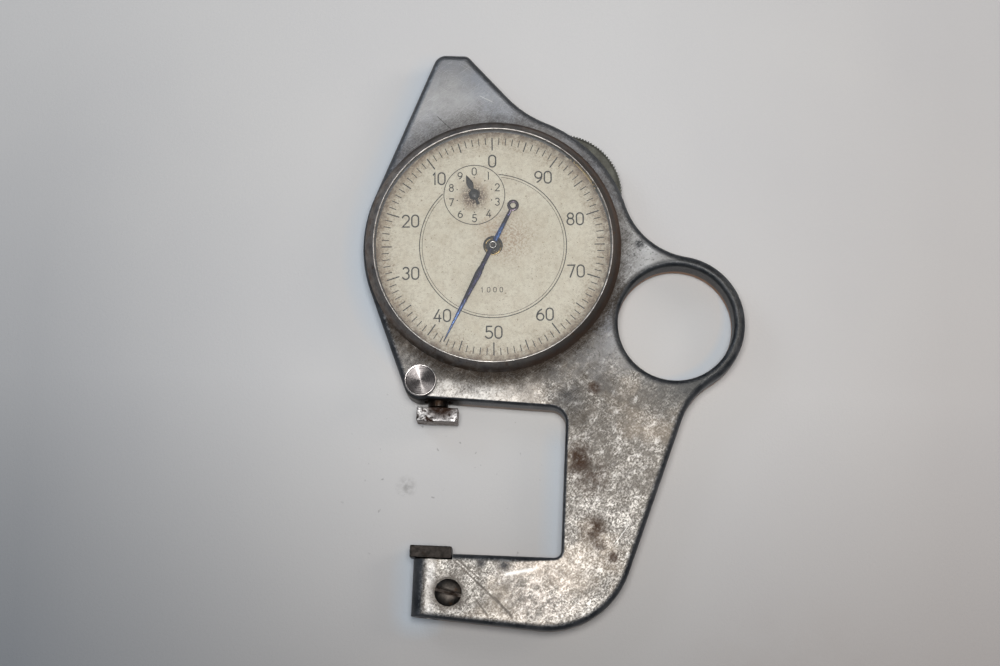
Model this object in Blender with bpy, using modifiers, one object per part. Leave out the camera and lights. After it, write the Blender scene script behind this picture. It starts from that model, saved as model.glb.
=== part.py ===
"""Pocket dial thickness gauge: a C frame with a finger ring, a 100-division dial, a one-inch
spindle driven by a knurled thumbwheel through a rack and gear train, and an adjustable anvil.

The gauge lies on its flat back. Origin: centre of the back face on the dial axis.
+Z towards the reader, +Y along the spindle towards the horn, +X towards the finger ring.
"""

from math import asin, atan2, ceil, cos, degrees, hypot, pi, radians, sin, sqrt, tan

import bmesh
import bpy
from mathutils import Matrix, Vector

MM = 0.001
INCH = 25.4 * MM
GAP = 0.3 * MM
MERGE = 0.01 * MM

# Frame
FRAME_THICKNESS = 8.0 * MM
EDGE_RADIUS = 1.1 * MM
THROAT_EDGE_SHARE = 0.55
CASE_RADIUS = 25.6 * MM
SHOULDER_RADIUS = 27.4 * MM
HORN_TOP_Y = 39.05 * MM
HORN_LEFT_LEAN = 20.5
HORN_RIGHT_POINT = (-2.0 * MM, 34.3 * MM)
HORN_RIGHT_HEADING = 135.0
HORN_LEFT_CORNER = 2.5 * MM
HORN_RIGHT_CORNER = 1.6 * MM
SHOULDER_BLEND = 22.0 * MM
RING_CENTRE = (36.2 * MM, -13.9 * MM)
RING_OUTER_RADIUS = 13.5 * MM
RING_HOLE_RADIUS = 11.3 * MM
RING_HOLE_EDGE = 1.0 * MM
RING_TOP_BLEND = 15.0 * MM
RING_BOTTOM_BLEND = 14.0 * MM
LOCK_CENTRE = (-12.8 * MM, -27.5 * MM)
LOCK_BOSS_RADIUS = 3.1 * MM
THROAT_HEADING = -1.9
THROAT_WALL_X = 15.5 * MM
THROAT_TOP_CORNER = 3.0 * MM
THROAT_BOTTOM_CORNER = 1.4 * MM
JAW_TOP_Y = -60.3 * MM
JAW_END_X = -12.75 * MM
JAW_BOTTOM_Y = -72.35 * MM
JAW_BOTTOM_HEADING = -4.1
JAW_NOSE_RADIUS = 3.2 * MM
ELBOW_RADIUS = 16.5 * MM
ARM_POINT = (30.03 * MM, -57.71 * MM)
ARM_HEADING = 72.6

# Case levels and radii
CAVITY_RADIUS = 22.6 * MM
BACK_OPENING_RADIUS = 18.9 * MM
BACK_REBATE_RADIUS = 21.9 * MM
BACK_REBATE_DEPTH = 1.0 * MM
FLOOR_TOP_Z = 1.8 * MM
BEZEL_REBATE_RADIUS = 24.15 * MM
BEZEL_REBATE_Z = 7.3 * MM
DIAL_RADIUS = 23.0 * MM
DIAL_BACK_Z = 8.1 * MM
DIAL_FACE_Z = 8.45 * MM
CRYSTAL_RADIUS = 23.45 * MM
CRYSTAL_Z = (9.5 * MM, 9.85 * MM)
BEZEL_TOP_Z = 10.2 * MM
BEZEL_LIP_RADIUS = 23.2 * MM
BEZEL_BASE_RADIUS = 25.1 * MM

# Spindle, pad and anvil
SPINDLE_X = -9.5 * MM
SPINDLE_Z = 4.0 * MM
SPINDLE_RADIUS = 1.95 * MM
SPINDLE_TOP_Y = 36.0 * MM
SPINDLE_BORE_RADIUS = 2.3 * MM
READING = 0.9425 * INCH
ANVIL_FACE_Y = -58.85 * MM
PAD_FACE_Y = ANVIL_FACE_Y + READING
PAD_TOP_Y = -32.25 * MM
PAD_WIDTH = 8.0 * MM
PAD_DEPTH = 5.6 * MM
TENON_RADIUS = 1.2 * MM
TENON_LENGTH = 1.5 * MM
ANVIL_SEAT_Y = -61.5 * MM
ANVIL_STEM_RADIUS = 1.9 * MM
ANVIL_STEM_END_Y = -70.9 * MM
CLAMP_CENTRE = (-5.73 * MM, -67.7 * MM)
CLAMP_SHANK_RADIUS = 1.6 * MM
CLAMP_HEAD_RADIUS = 2.6 * MM

# Gear train
RACK_TEETH_PER_INCH = 24
RACK_PITCH = INCH / RACK_TEETH_PER_INCH
COUNTER_CENTRE = (-4.1 * MM, 10.1 * MM)
TRAIN_GEAR_TEETH = 80
PINION_TEETH = 8
THUMB_GEAR_TEETH = 56
TAKEUP_GEAR_TEETH = 48
TRAIN_MODULE = 2 * hypot(*COUNTER_CENTRE) / (TRAIN_GEAR_TEETH + PINION_TEETH)
RACK_MODULE = RACK_PITCH / pi
THUMB_SHAFT_ANGLE = 5.0
TAKEUP_SHAFT_ANGLE = -60.0
WHEEL_RADIUS = 12.3 * MM
WHEEL_KNURLS = 124
WHEEL_KNURL_DEPTH = 0.3 * MM
WHEEL_Z = (3.1 * MM, 5.9 * MM)
GEAR_Z = (6.3 * MM, 6.9 * MM)
RACK_PINION_Z = (3.1 * MM, 5.1 * MM)
PINION_Z = (5.9 * MM, 7.0 * MM)
BACK_PLATE_Z = (2.1 * MM, 2.8 * MM)
FRONT_PLATE_Z = (7.2 * MM, 7.8 * MM)
PLATE_RADIUS = 22.1 * MM
BACK_PLATE_LEFT_X = -6.9 * MM
PIVOT_RADIUS = 0.45 * MM
PIVOT_HOLE_RADIUS = 0.6 * MM
ARBOR_RADIUS = 0.8 * MM
PILLAR_CENTRES = ((17.0 * MM, -8.0 * MM), (-3.4 * MM, -17.4 * MM), (1.8 * MM, 20.3 * MM))
PILLAR_RADIUS = 1.2 * MM
COVER_SCREW_RADIUS = 20.2 * MM
COVER_SCREW_ANGLES = (35.0, 155.0, 275.0)

# Hands
MAIN_HAND_Z = (9.1 * MM, 9.25 * MM)
COUNTER_HAND_Z = (8.72 * MM, 8.87 * MM)
DIAL_TILT = 2.9
MAIN_HAND_ANGLE = 90.0 + DIAL_TILT + 42.5 * 3.6
COUNTER_HAND_ANGLE = 90.0 + DIAL_TILT - 9.4 * 36.0
DIAL_HOLE_RADIUS = 1.95 * MM
MAIN_HAND_LENGTH = 21.5 * MM
HAND_EYE_DISTANCE = 8.85 * MM
HAND_EYE_RADIUS = 1.17 * MM
HAND_EYE_HOLE = 0.52 * MM
COUNTER_HAND_LENGTH = 4.2 * MM
COUNTER_HUB_RADIUS = 1.1 * MM

ORIGIN = (0.0, 0.0)

STEEL = ("worn_nickel_steel", (0.52, 0.51, 0.50), 0.38, 1.0)
DARK_STEEL = ("browned_steel", (0.11, 0.095, 0.085), 0.5, 0.9)
BRIGHT_STEEL = ("bright_steel", (0.62, 0.61, 0.60), 0.28, 1.0)
BLUED_STEEL = ("blued_steel", (0.035, 0.045, 0.12), 0.3, 0.9)
BLACK_STEEL = ("blackened_steel", (0.02, 0.018, 0.018), 0.45, 0.6)
WHEEL_STEEL = ("dull_green_grey_steel", (0.15, 0.16, 0.12), 0.6, 0.8)
BRASS = ("aged_brass", (0.55, 0.40, 0.18), 0.35, 1.0)
DIAL_CREAM = ("cream_dial_enamel", (0.72, 0.65, 0.52), 0.6, 0.0)
CLEAR = ("clear_crystal", (0.95, 0.97, 0.97), 0.05, 0.0)


# ---------------------------------------------------------------- scene and materials

def clear_scene():
    for item in list(bpy.data.objects):
        bpy.data.objects.remove(item, do_unlink=True)


def new_collection(name):
    group = bpy.data.collections.new(name)
    bpy.context.scene.collection.children.link(group)
    return group


def material(look):
    name, colour, roughness, metallic = look
    found = bpy.data.materials.get(name)
    if found:
        return found
    made = bpy.data.materials.new(name)
    made.use_nodes = True
    shader = made.node_tree.nodes["Principled BSDF"]
    shader.inputs["Base Color"].default_value = (*colour, 1.0)
    shader.inputs["Roughness"].default_value = roughness
    shader.inputs["Metallic"].default_value = metallic
    made.diffuse_color = (*colour, 1.0)
    return made


def add_object(name, data, group, look=None):
    made = bpy.data.objects.new(name, data)
    group.objects.link(made)
    if look:
        data.materials.append(material(look))
    else:
        made.hide_render = True
        made.display_type = "WIRE"
    return made


# ---------------------------------------------------------------- plane geometry

def polar(centre, radius, angle):
    return (centre[0] + radius * cos(radians(angle)), centre[1] + radius * sin(radians(angle)))


def arc(centre, radius, start, end, step=9.0):
    count = max(1, ceil(abs(end - start) / step))
    return [polar(centre, radius, start + (end - start) * i / count) for i in range(count + 1)]


def circle(centre, radius, sides):
    return [polar(centre, radius, 360.0 * i / sides) for i in range(sides)]


def angle_to(start, end):
    return degrees(atan2(end[1] - start[1], end[0] - start[0]))


def sideways(point, heading, distance):
    """The point moved to the left of the heading by the distance."""
    return polar(point, distance, heading + 90.0)


def lines_meet(point_a, heading_a, point_b, heading_b):
    gap_x, gap_y = point_b[0] - point_a[0], point_b[1] - point_a[1]
    across = sin(radians(heading_b - heading_a))
    along = (gap_x * sin(radians(heading_b)) - gap_y * cos(radians(heading_b))) / across
    return polar(point_a, along, heading_a)


def circles_meet(centre_a, radius_a, centre_b, radius_b, turn):
    """Where two circles cross; turn is 1 to the left of the line from a to b, or -1."""
    distance = hypot(centre_b[0] - centre_a[0], centre_b[1] - centre_a[1])
    along = (radius_a ** 2 - radius_b ** 2 + distance ** 2) / (2 * distance)
    swing = degrees(atan2(sqrt(radius_a ** 2 - along ** 2), along))
    return polar(centre_a, radius_a, angle_to(centre_a, centre_b) + turn * swing)


def line_meets_circle(point, heading, centre, radius, turn):
    """Where a line crosses a circle; turn is 1 for the further crossing, or -1."""
    to_x, to_y = centre[0] - point[0], centre[1] - point[1]
    along = to_x * cos(radians(heading)) + to_y * sin(radians(heading))
    off = hypot(to_x, to_y) ** 2 - along ** 2
    return polar(point, along + turn * sqrt(radius ** 2 - off), heading)


def corner(point, heading_in, heading_out, radius, step=15.0):
    """An arc that rounds the corner between two straight edges."""
    turn = (heading_out - heading_in + 180.0) % 360.0 - 180.0
    side = 1.0 if turn > 0 else -1.0
    start = polar(point, -radius * tan(radians(abs(turn) / 2)), heading_in)
    centre = sideways(start, heading_in, side * radius)
    first = heading_in - side * 90.0
    return arc(centre, radius, first, first + turn, step)


# ---------------------------------------------------------------- solids

def flat_mesh(name, loops, low_z, high_z):
    """A mesh of a flat outline, with any holes, between two levels."""
    curve = bpy.data.curves.new(name, "CURVE")
    curve.dimensions = "2D"
    curve.fill_mode = "BOTH"
    curve.extrude = (high_z - low_z) / 2
    for loop in loops:
        spline = curve.splines.new("POLY")
        spline.points.add(len(loop) - 1)
        for spot, (x, y) in zip(spline.points, loop):
            spot.co = (x, y, 0.0, 1.0)
        spline.use_cyclic_u = True
    helper = bpy.data.objects.new(name, curve)
    bpy.context.scene.collection.objects.link(helper)
    helper.location.z = (high_z + low_z) / 2
    graph = bpy.context.evaluated_depsgraph_get()
    mesh = bpy.data.meshes.new_from_object(helper.evaluated_get(graph))
    mesh.transform(Matrix.Translation(helper.location))
    bpy.data.objects.remove(helper, do_unlink=True)
    shell = bmesh.new()
    shell.from_mesh(mesh)
    bmesh.ops.remove_doubles(shell, verts=shell.verts, dist=MERGE / 10)
    bmesh.ops.recalc_face_normals(shell, faces=shell.faces)
    shell.to_mesh(mesh)
    shell.free()
    return mesh


def flat_solid(name, loops, low_z, high_z, group, look=None, centre=ORIGIN, smooth_below=30.0):
    mesh = flat_mesh(name, loops, low_z, high_z)
    made = add_object(name, mesh, group, look)
    made.location = (*centre, 0.0)
    mesh.shade_smooth()
    mesh.set_sharp_from_angle(angle=radians(smooth_below))
    return made


def turned_solid(name, profile, sides, group, look=None, location=(0, 0, 0), along_y=False):
    """A profile of (radius, height) turned about the axis, listed down its outer side."""
    mesh = bpy.data.meshes.new(name)
    closed = profile[0][0] > MERGE
    spots = [(radius, 0.0, height) for radius, height in profile]
    edges = [(i, i + 1) for i in range(len(spots) - 1)]
    if closed:
        edges.append((len(spots) - 1, 0))
    mesh.from_pydata(spots, edges, [])
    made = add_object(name, mesh, group, look)
    made.location = location
    if along_y:
        made.rotation_euler = (-pi / 2, 0.0, 0.0)
    screw = made.modifiers.new("turn", "SCREW")
    screw.axis = "Z"
    screw.steps = sides
    screw.render_steps = sides
    screw.use_merge_vertices = True
    screw.merge_threshold = MERGE / 10
    screw.use_smooth_shade = True
    return made


def rod(name, radius, low, high, sides, group, look=None, location=(0, 0, 0), along_y=False):
    profile = [(0.0, high), (radius, high), (radius, low), (0.0, low)]
    return turned_solid(name, profile, sides, group, look, location, along_y)


def box(name, low, high, group, look=None, edge=0.0):
    shell = bmesh.new()
    bmesh.ops.create_cube(shell, size=1.0)
    size = Vector(high) - Vector(low)
    centre = (Vector(high) + Vector(low)) / 2
    for vertex in shell.verts:
        vertex.co = Vector([vertex.co[i] * size[i] + centre[i] for i in range(3)])
    mesh = bpy.data.meshes.new(name)
    shell.to_mesh(mesh)
    shell.free()
    made = add_object(name, mesh, group, look)
    if edge:
        bevel = made.modifiers.new("edges", "BEVEL")
        bevel.width = edge
        bevel.segments = 2
    return made


def combine(target, tool, operation="DIFFERENCE"):
    step = target.modifiers.new(tool.name, "BOOLEAN")
    step.operation = operation
    step.solver = "EXACT"
    step.object = tool


def cut_rod(target, tools, radius, low, high, sides, location, along_y=False):
    name = f"{target.name}_cutter_{len(target.modifiers)}"
    tool = rod(name, radius, low, high, sides, tools, None, location, along_y)
    combine(target, tool)


def on_axis(centre, pieces):
    """Moves finished pieces so that their origins stand on a vertical joint axis."""
    for piece in pieces:
        shift = Matrix.Translation((-centre[0], -centre[1], 0.0))
        piece.data.transform(shift)
        piece.location.x += centre[0]
        piece.location.y += centre[1]


# ---------------------------------------------------------------- frame

def frame_outline():
    """The frame's outline, anticlockwise from the horn, and the indices of its throat."""
    left_heading = 270.0 - HORN_LEFT_LEAN
    left_touch = polar(ORIGIN, CASE_RADIUS, 180.0 - HORN_LEFT_LEAN)
    top_left = lines_meet((0.0, HORN_TOP_Y), 180.0, left_touch, left_heading)
    top_right = lines_meet((0.0, HORN_TOP_Y), 180.0, HORN_RIGHT_POINT, HORN_RIGHT_HEADING)
    points = corner(top_right, HORN_RIGHT_HEADING, 180.0, HORN_RIGHT_CORNER)
    points += corner(top_left, 180.0, left_heading, HORN_LEFT_CORNER)

    boss_distance = hypot(*LOCK_CENTRE)
    lean = degrees(asin((CASE_RADIUS - LOCK_BOSS_RADIUS) / boss_distance))
    flank_normal = angle_to(ORIGIN, LOCK_CENTRE) % 360.0 - 90.0 + lean
    points += arc(ORIGIN, CASE_RADIUS, 180.0 - HORN_LEFT_LEAN, flank_normal)
    points += arc(LOCK_CENTRE, LOCK_BOSS_RADIUS, flank_normal, 270.0 + THROAT_HEADING, 12.0)

    throat_start = len(points) - 1
    boss_foot = polar(LOCK_CENTRE, LOCK_BOSS_RADIUS, 270.0 + THROAT_HEADING)
    top_inner = lines_meet(boss_foot, THROAT_HEADING, (THROAT_WALL_X, 0.0), -90.0)
    points += corner(top_inner, THROAT_HEADING, -90.0, THROAT_TOP_CORNER)
    points += corner((THROAT_WALL_X, JAW_TOP_Y), -90.0, -180.0, THROAT_BOTTOM_CORNER, 18.0)
    throat_end = len(points)

    jaw_corner = (JAW_END_X, JAW_BOTTOM_Y)
    points += [(JAW_END_X, JAW_TOP_Y), jaw_corner]
    elbow = lines_meet(jaw_corner, JAW_BOTTOM_HEADING, ARM_POINT, ARM_HEADING)
    points += corner(elbow, JAW_BOTTOM_HEADING, ARM_HEADING, ELBOW_RADIUS, 6.0)

    beside_arm = sideways(ARM_POINT, ARM_HEADING, -RING_BOTTOM_BLEND)
    blend_reach = RING_OUTER_RADIUS + RING_BOTTOM_BLEND
    arm_blend = line_meets_circle(beside_arm, ARM_HEADING, RING_CENTRE, blend_reach, -1)
    points += arc(arm_blend, RING_BOTTOM_BLEND, ARM_HEADING + 90.0, angle_to(arm_blend, RING_CENTRE))

    top_blend = circles_meet(ORIGIN, SHOULDER_RADIUS + RING_TOP_BLEND,
                             RING_CENTRE, RING_OUTER_RADIUS + RING_TOP_BLEND, 1)
    ring_start = angle_to(RING_CENTRE, arm_blend)
    ring_end = angle_to(RING_CENTRE, top_blend)
    points += arc(RING_CENTRE, RING_OUTER_RADIUS, ring_start, ring_end)[1:]
    blend_start = angle_to(top_blend, RING_CENTRE)
    blend_end = angle_to(top_blend, ORIGIN)
    points += arc(top_blend, RING_TOP_BLEND, blend_start % 360.0, blend_end % 360.0)[1:]

    beside_horn = sideways(HORN_RIGHT_POINT, HORN_RIGHT_HEADING, -SHOULDER_BLEND)
    horn_blend = line_meets_circle(beside_horn, HORN_RIGHT_HEADING, ORIGIN,
                                   SHOULDER_RADIUS + SHOULDER_BLEND, 1)
    shoulder_start = angle_to(ORIGIN, top_blend)
    shoulder_end = angle_to(ORIGIN, horn_blend)
    points += arc(ORIGIN, SHOULDER_RADIUS, shoulder_start, shoulder_end)[1:]
    horn_start = angle_to(horn_blend, ORIGIN) % 360.0
    points += arc(horn_blend, SHOULDER_BLEND, horn_start, HORN_RIGHT_HEADING + 90.0)[1:]
    return points, range(throat_start, throat_end)


def rounded_frame_mesh():
    """The frame blank, with face edges marked for a wide or a narrow round."""
    outline, throat = frame_outline()
    mesh = flat_mesh("frame", [outline], 0.0, FRAME_THICKNESS)
    throat_points = [Vector(outline[i]) for i in throat]
    shell = bmesh.new()
    shell.from_mesh(mesh)
    bmesh.ops.dissolve_limit(shell, angle_limit=radians(0.5), verts=shell.verts, edges=shell.edges)
    weight = shell.edges.layers.float.new("bevel_weight_edge")
    for edge in shell.edges:
        start, end = edge.verts[0].co, edge.verts[1].co
        if abs(start.z - end.z) > MERGE:
            continue
        in_throat = all(min((spot.co.xy - p).length for p in throat_points) < MERGE
                        for spot in edge.verts)
        edge[weight] = THROAT_EDGE_SHARE if in_throat else 1.0
    shell.to_mesh(mesh)
    shell.free()
    return mesh


def nose_cutter(name, front, tools):
    """Rounds the jaw's end: the space outside a quarter circle, swept along the jaw's end."""
    radius = JAW_NOSE_RADIUS
    centre = (JAW_END_X + radius, FRAME_THICKNESS - radius)
    beyond = 2 * MM
    profile = arc(centre, radius, 90.0, 180.0, 15.0)
    profile += [(JAW_END_X - beyond, FRAME_THICKNESS - radius),
                (JAW_END_X - beyond, FRAME_THICKNESS + beyond),
                (JAW_END_X + radius, FRAME_THICKNESS + beyond)]
    if not front:
        profile = [(x, FRAME_THICKNESS - z) for x, z in reversed(profile)]
    length = 20 * MM
    tool = flat_solid(name, [profile], -length / 2, length / 2, tools)
    tool.rotation_euler = (pi / 2, 0.0, 0.0)
    tool.location = (0.0, JAW_TOP_Y - length / 3, 0.0)
    return tool


def ring_hole_cutter(tools):
    edge = RING_HOLE_EDGE
    beyond = 1 * MM
    wide = RING_HOLE_RADIUS + edge
    profile = [(0.0, FRAME_THICKNESS + beyond), (wide, FRAME_THICKNESS + beyond)]
    profile += [(wide - edge * sin(radians(a)), FRAME_THICKNESS - edge + edge * cos(radians(a)))
                for a in (0, 30, 60, 90)]
    profile += [(wide - edge * cos(radians(a)), edge - edge * sin(radians(a)))
                for a in (0, 30, 60, 90)]
    profile += [(wide, -beyond), (0.0, -beyond)]
    return turned_solid("ring_hole_cutter", profile, 48, tools, None, (*RING_CENTRE, 0.0))


def cavity_cutter(tools):
    """The round case: bezel rebate, movement cavity, back opening and cover rebate."""
    beyond = 1 * MM
    profile = [
        (0.0, FRAME_THICKNESS + beyond), (BEZEL_REBATE_RADIUS, FRAME_THICKNESS + beyond),
        (BEZEL_REBATE_RADIUS, BEZEL_REBATE_Z), (CAVITY_RADIUS, BEZEL_REBATE_Z),
        (CAVITY_RADIUS, FLOOR_TOP_Z), (BACK_OPENING_RADIUS, FLOOR_TOP_Z),
        (BACK_OPENING_RADIUS, BACK_REBATE_DEPTH), (BACK_REBATE_RADIUS, BACK_REBATE_DEPTH),
        (BACK_REBATE_RADIUS, -beyond), (0.0, -beyond),
    ]
    return turned_solid("cavity_cutter", profile, 64, tools)


def thumb_centre():
    distance = TRAIN_MODULE * (TRAIN_GEAR_TEETH + THUMB_GEAR_TEETH) / 2
    return polar(COUNTER_CENTRE, distance, THUMB_SHAFT_ANGLE)


def takeup_centre():
    distance = TRAIN_MODULE * (PINION_TEETH + TAKEUP_GEAR_TEETH) / 2
    return polar(ORIGIN, distance, TAKEUP_SHAFT_ANGLE)


def make_frame(parts, tools):
    frame = add_object("frame", rounded_frame_mesh(), parts, STEEL)
    bevel = frame.modifiers.new("rounded_edges", "BEVEL")
    bevel.limit_method = "WEIGHT"
    bevel.width = EDGE_RADIUS
    bevel.segments = 3
    bevel.use_clamp_overlap = False
    for name, front in (("nose_cutter_front", True), ("nose_cutter_back", False)):
        combine(frame, nose_cutter(name, front, tools))
    combine(frame, ring_hole_cutter(tools))
    combine(frame, cavity_cutter(tools))

    beyond = 1 * MM
    wheel_low, wheel_high = WHEEL_Z[0] - GAP, WHEEL_Z[1] + GAP
    cut_rod(frame, tools, WHEEL_RADIUS + 0.5 * MM, wheel_low, wheel_high, 48, (*thumb_centre(), 0.0))

    gear_reach = TRAIN_MODULE * (THUMB_GEAR_TEETH / 2 + 0.8) + 0.35 * MM
    cut_rod(frame, tools, gear_reach, wheel_high - GAP, BEZEL_REBATE_Z + 0.1 * MM, 40,
            (*thumb_centre(), 0.0))

    on_spindle = (SPINDLE_X, 0.0, SPINDLE_Z)
    bush_bore = 2.5 * MM + GAP
    cut_rod(frame, tools, SPINDLE_BORE_RADIUS, 0.0, SPINDLE_TOP_Y + 1.9 * MM, 24, on_spindle, True)
    cut_rod(frame, tools, bush_bore, -40 * MM, 0.0, 24, on_spindle, True)
    stem_bore = ANVIL_STEM_RADIUS + GAP
    cut_rod(frame, tools, stem_bore, -80 * MM, JAW_TOP_Y + beyond, 24, on_spindle, True)

    seat_low = (JAW_END_X - beyond, ANVIL_SEAT_Y, -beyond)
    seat_high = (SPINDLE_X + PAD_WIDTH / 2 + GAP, JAW_TOP_Y + beyond, FRAME_THICKNESS + beyond)
    combine(frame, box("anvil_seat_cutter", seat_low, seat_high, tools))

    lock_at = (*LOCK_CENTRE, 0.0)
    cut_rod(frame, tools, 1.75 * MM, 1.0 * MM, FRAME_THICKNESS + beyond, 20, lock_at)
    clamp_at = (*CLAMP_CENTRE, 0.0)
    cut_rod(frame, tools, CLAMP_SHANK_RADIUS + GAP, 1.0 * MM, FRAME_THICKNESS + beyond, 20, clamp_at)
    cut_rod(frame, tools, CLAMP_HEAD_RADIUS + GAP, FRAME_THICKNESS - 0.6 * MM,
            FRAME_THICKNESS + beyond, 32, clamp_at)
    for angle in COVER_SCREW_ANGLES:
        place = (*polar(ORIGIN, COVER_SCREW_RADIUS, angle), 0.0)
        cut_rod(frame, tools, 0.75 * MM, 0.0, FLOOR_TOP_Z + beyond, 12, place)
    return frame


# ---------------------------------------------------------------- case

def make_back_cover(parts, tools):
    thickness = BACK_REBATE_DEPTH - GAP
    radius = BACK_REBATE_RADIUS - GAP
    centres = [polar(ORIGIN, COVER_SCREW_RADIUS, angle) for angle in COVER_SCREW_ANGLES]
    loops = [circle(ORIGIN, radius, 64)] + [circle(centre, 0.75 * MM, 12) for centre in centres]
    cover = flat_solid("back_cover", loops, 0.0, thickness, parts, STEEL)
    for number, centre in enumerate(centres, 1):
        place = (*centre, 0.0)
        cut_rod(cover, tools, 1.2 * MM, -1 * MM, 0.45 * MM, 20, place)
        profile = [(0.0, 1.5 * MM), (0.45 * MM, 1.5 * MM), (0.45 * MM, 0.3 * MM),
                   (0.95 * MM, 0.3 * MM), (0.95 * MM, 0.02 * MM), (0.0, 0.02 * MM)]
        screw = turned_solid(f"back_cover_screw_{number}", profile, 12, parts, DARK_STEEL, place)
        slot = box(f"cover_screw_slot_{number}", (-1 * MM, -0.12 * MM, -1 * MM),
                   (1 * MM, 0.12 * MM, 0.16 * MM), tools)
        slot.location = place
        combine(screw, slot)
    return cover


def make_bezel(parts):
    """A low ring: coned outside, lip over the crystal, and a skirt pressed into the frame."""
    base_z = FRAME_THICKNESS + 0.15 * MM
    skirt_outer = BEZEL_REBATE_RADIUS - GAP
    seat_z = CRYSTAL_Z[1] + 0.05 * MM
    seat_radius = CRYSTAL_RADIUS + 0.1 * MM
    skirt_z = BEZEL_REBATE_Z + GAP
    lip = BEZEL_LIP_RADIUS
    profile = [
        (lip + 0.05 * MM, BEZEL_TOP_Z), (lip + 0.35 * MM, BEZEL_TOP_Z),
        (lip + 0.95 * MM, BEZEL_TOP_Z - 0.7 * MM), (lip + 1.65 * MM, base_z + 0.35 * MM),
        (BEZEL_BASE_RADIUS, base_z + 0.1 * MM),
        (BEZEL_BASE_RADIUS, base_z), (skirt_outer, base_z), (skirt_outer, skirt_z),
        (seat_radius, skirt_z), (seat_radius, seat_z), (lip, seat_z),
        (lip, BEZEL_TOP_Z - 0.05 * MM),
    ]
    return turned_solid("bezel", profile, 64, parts, DARK_STEEL)


def make_dial(parts):
    loops = [circle(ORIGIN, DIAL_RADIUS, 64), circle(ORIGIN, DIAL_HOLE_RADIUS, 24),
             circle(COUNTER_CENTRE, 0.9 * MM, 16)]
    return flat_solid("dial_plate", loops, DIAL_BACK_Z, DIAL_FACE_Z, parts, DIAL_CREAM)


def make_crystal(parts):
    low, high = CRYSTAL_Z
    edge = 0.1 * MM
    radius = CRYSTAL_RADIUS
    profile = [(0.0, high), (radius - edge, high), (radius, high - edge), (radius, low), (0.0, low)]
    return turned_solid("crystal", profile, 64, parts, CLEAR)


# ---------------------------------------------------------------- spindle, pad and anvil

def rack_cutter(tools):
    """A comb that leaves rack teeth along the spindle's right-hand side."""
    pitch_x = COUNTER_CENTRE[0] - RACK_TEETH_PER_INCH * RACK_MODULE / 2
    tip_x = pitch_x + 0.8 * RACK_MODULE
    root_x = pitch_x - 1.1 * RACK_MODULE
    outside_x = SPINDLE_X + 2 * SPINDLE_RADIUS
    first, last = -4, 24
    points = [(outside_x, COUNTER_CENTRE[1] + (first - 0.6) * RACK_PITCH),
              (tip_x, COUNTER_CENTRE[1] + (first - 0.6) * RACK_PITCH)]
    for number in range(first, last + 1):
        middle = COUNTER_CENTRE[1] + number * RACK_PITCH
        wide, narrow = 0.41 * RACK_PITCH, 0.2 * RACK_PITCH
        points += [(tip_x, middle - wide), (root_x, middle - narrow),
                   (root_x, middle + narrow), (tip_x, middle + wide)]
    points += [(tip_x, COUNTER_CENTRE[1] + (last + 0.6) * RACK_PITCH),
               (outside_x, COUNTER_CENTRE[1] + (last + 0.6) * RACK_PITCH)]
    return flat_solid("rack_cutter", [points[::-1]], 0.0, FRAME_THICKNESS, tools)


def make_spindle(parts, tools):
    tenon_end = PAD_TOP_Y + GAP - TENON_LENGTH
    shoulder = PAD_TOP_Y + GAP
    edge = 0.35 * MM
    profile = [
        (0.0, SPINDLE_TOP_Y), (SPINDLE_RADIUS - edge, SPINDLE_TOP_Y),
        (SPINDLE_RADIUS, SPINDLE_TOP_Y - edge), (SPINDLE_RADIUS, shoulder + 0.2 * MM),
        (SPINDLE_RADIUS - 0.2 * MM, shoulder), (TENON_RADIUS, shoulder),
        (TENON_RADIUS, tenon_end), (0.0, tenon_end),
    ]
    place = (SPINDLE_X, 0.0, SPINDLE_Z)
    spindle = turned_solid("spindle", profile, 24, parts, BRIGHT_STEEL, place, True)
    combine(spindle, rack_cutter(tools))
    return spindle


def make_pad(parts, tools):
    half = PAD_WIDTH / 2
    low = (SPINDLE_X - half, PAD_FACE_Y, SPINDLE_Z - PAD_DEPTH / 2)
    high = (SPINDLE_X + half, PAD_TOP_Y, SPINDLE_Z + PAD_DEPTH / 2)
    pad = box("contact_pad", low, high, parts, BRIGHT_STEEL, 0.12 * MM)
    hole_end = PAD_TOP_Y - TENON_LENGTH
    cut_rod(pad, tools, TENON_RADIUS + GAP, hole_end, PAD_TOP_Y + 1 * MM, 20,
            (SPINDLE_X, 0.0, SPINDLE_Z), True)
    return pad


def make_lower_bush(parts, tools):
    outer, inner = 2.5 * MM, SPINDLE_RADIUS + 0.1 * MM
    top, bottom = -21.2 * MM, -30.2 * MM
    profile = [(outer, top), (outer, bottom), (inner, bottom), (inner, top)]
    place = (SPINDLE_X, 0.0, SPINDLE_Z)
    bush = turned_solid("spindle_lower_bush", profile, 28, parts, BRASS, place, True)
    cut_rod(bush, tools, 1.75 * MM, -1 * MM, 9 * MM, 20, (*LOCK_CENTRE, 0.0))
    return bush


def make_anvil(parts, tools):
    half = PAD_WIDTH / 2
    block_low_y = ANVIL_SEAT_Y + GAP
    low = (SPINDLE_X - half, block_low_y, SPINDLE_Z - PAD_DEPTH / 2)
    high = (SPINDLE_X + half, ANVIL_FACE_Y, SPINDLE_Z + PAD_DEPTH / 2)
    anvil = box("anvil", low, high, parts, DARK_STEEL, 0.1 * MM)
    place = (SPINDLE_X, 0.0, SPINDLE_Z)
    stem = rod("anvil_stem_tool", ANVIL_STEM_RADIUS, ANVIL_STEM_END_Y, block_low_y + 1 * MM,
               24, tools, None, place, True)
    combine(anvil, stem, "UNION")
    return anvil


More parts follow.
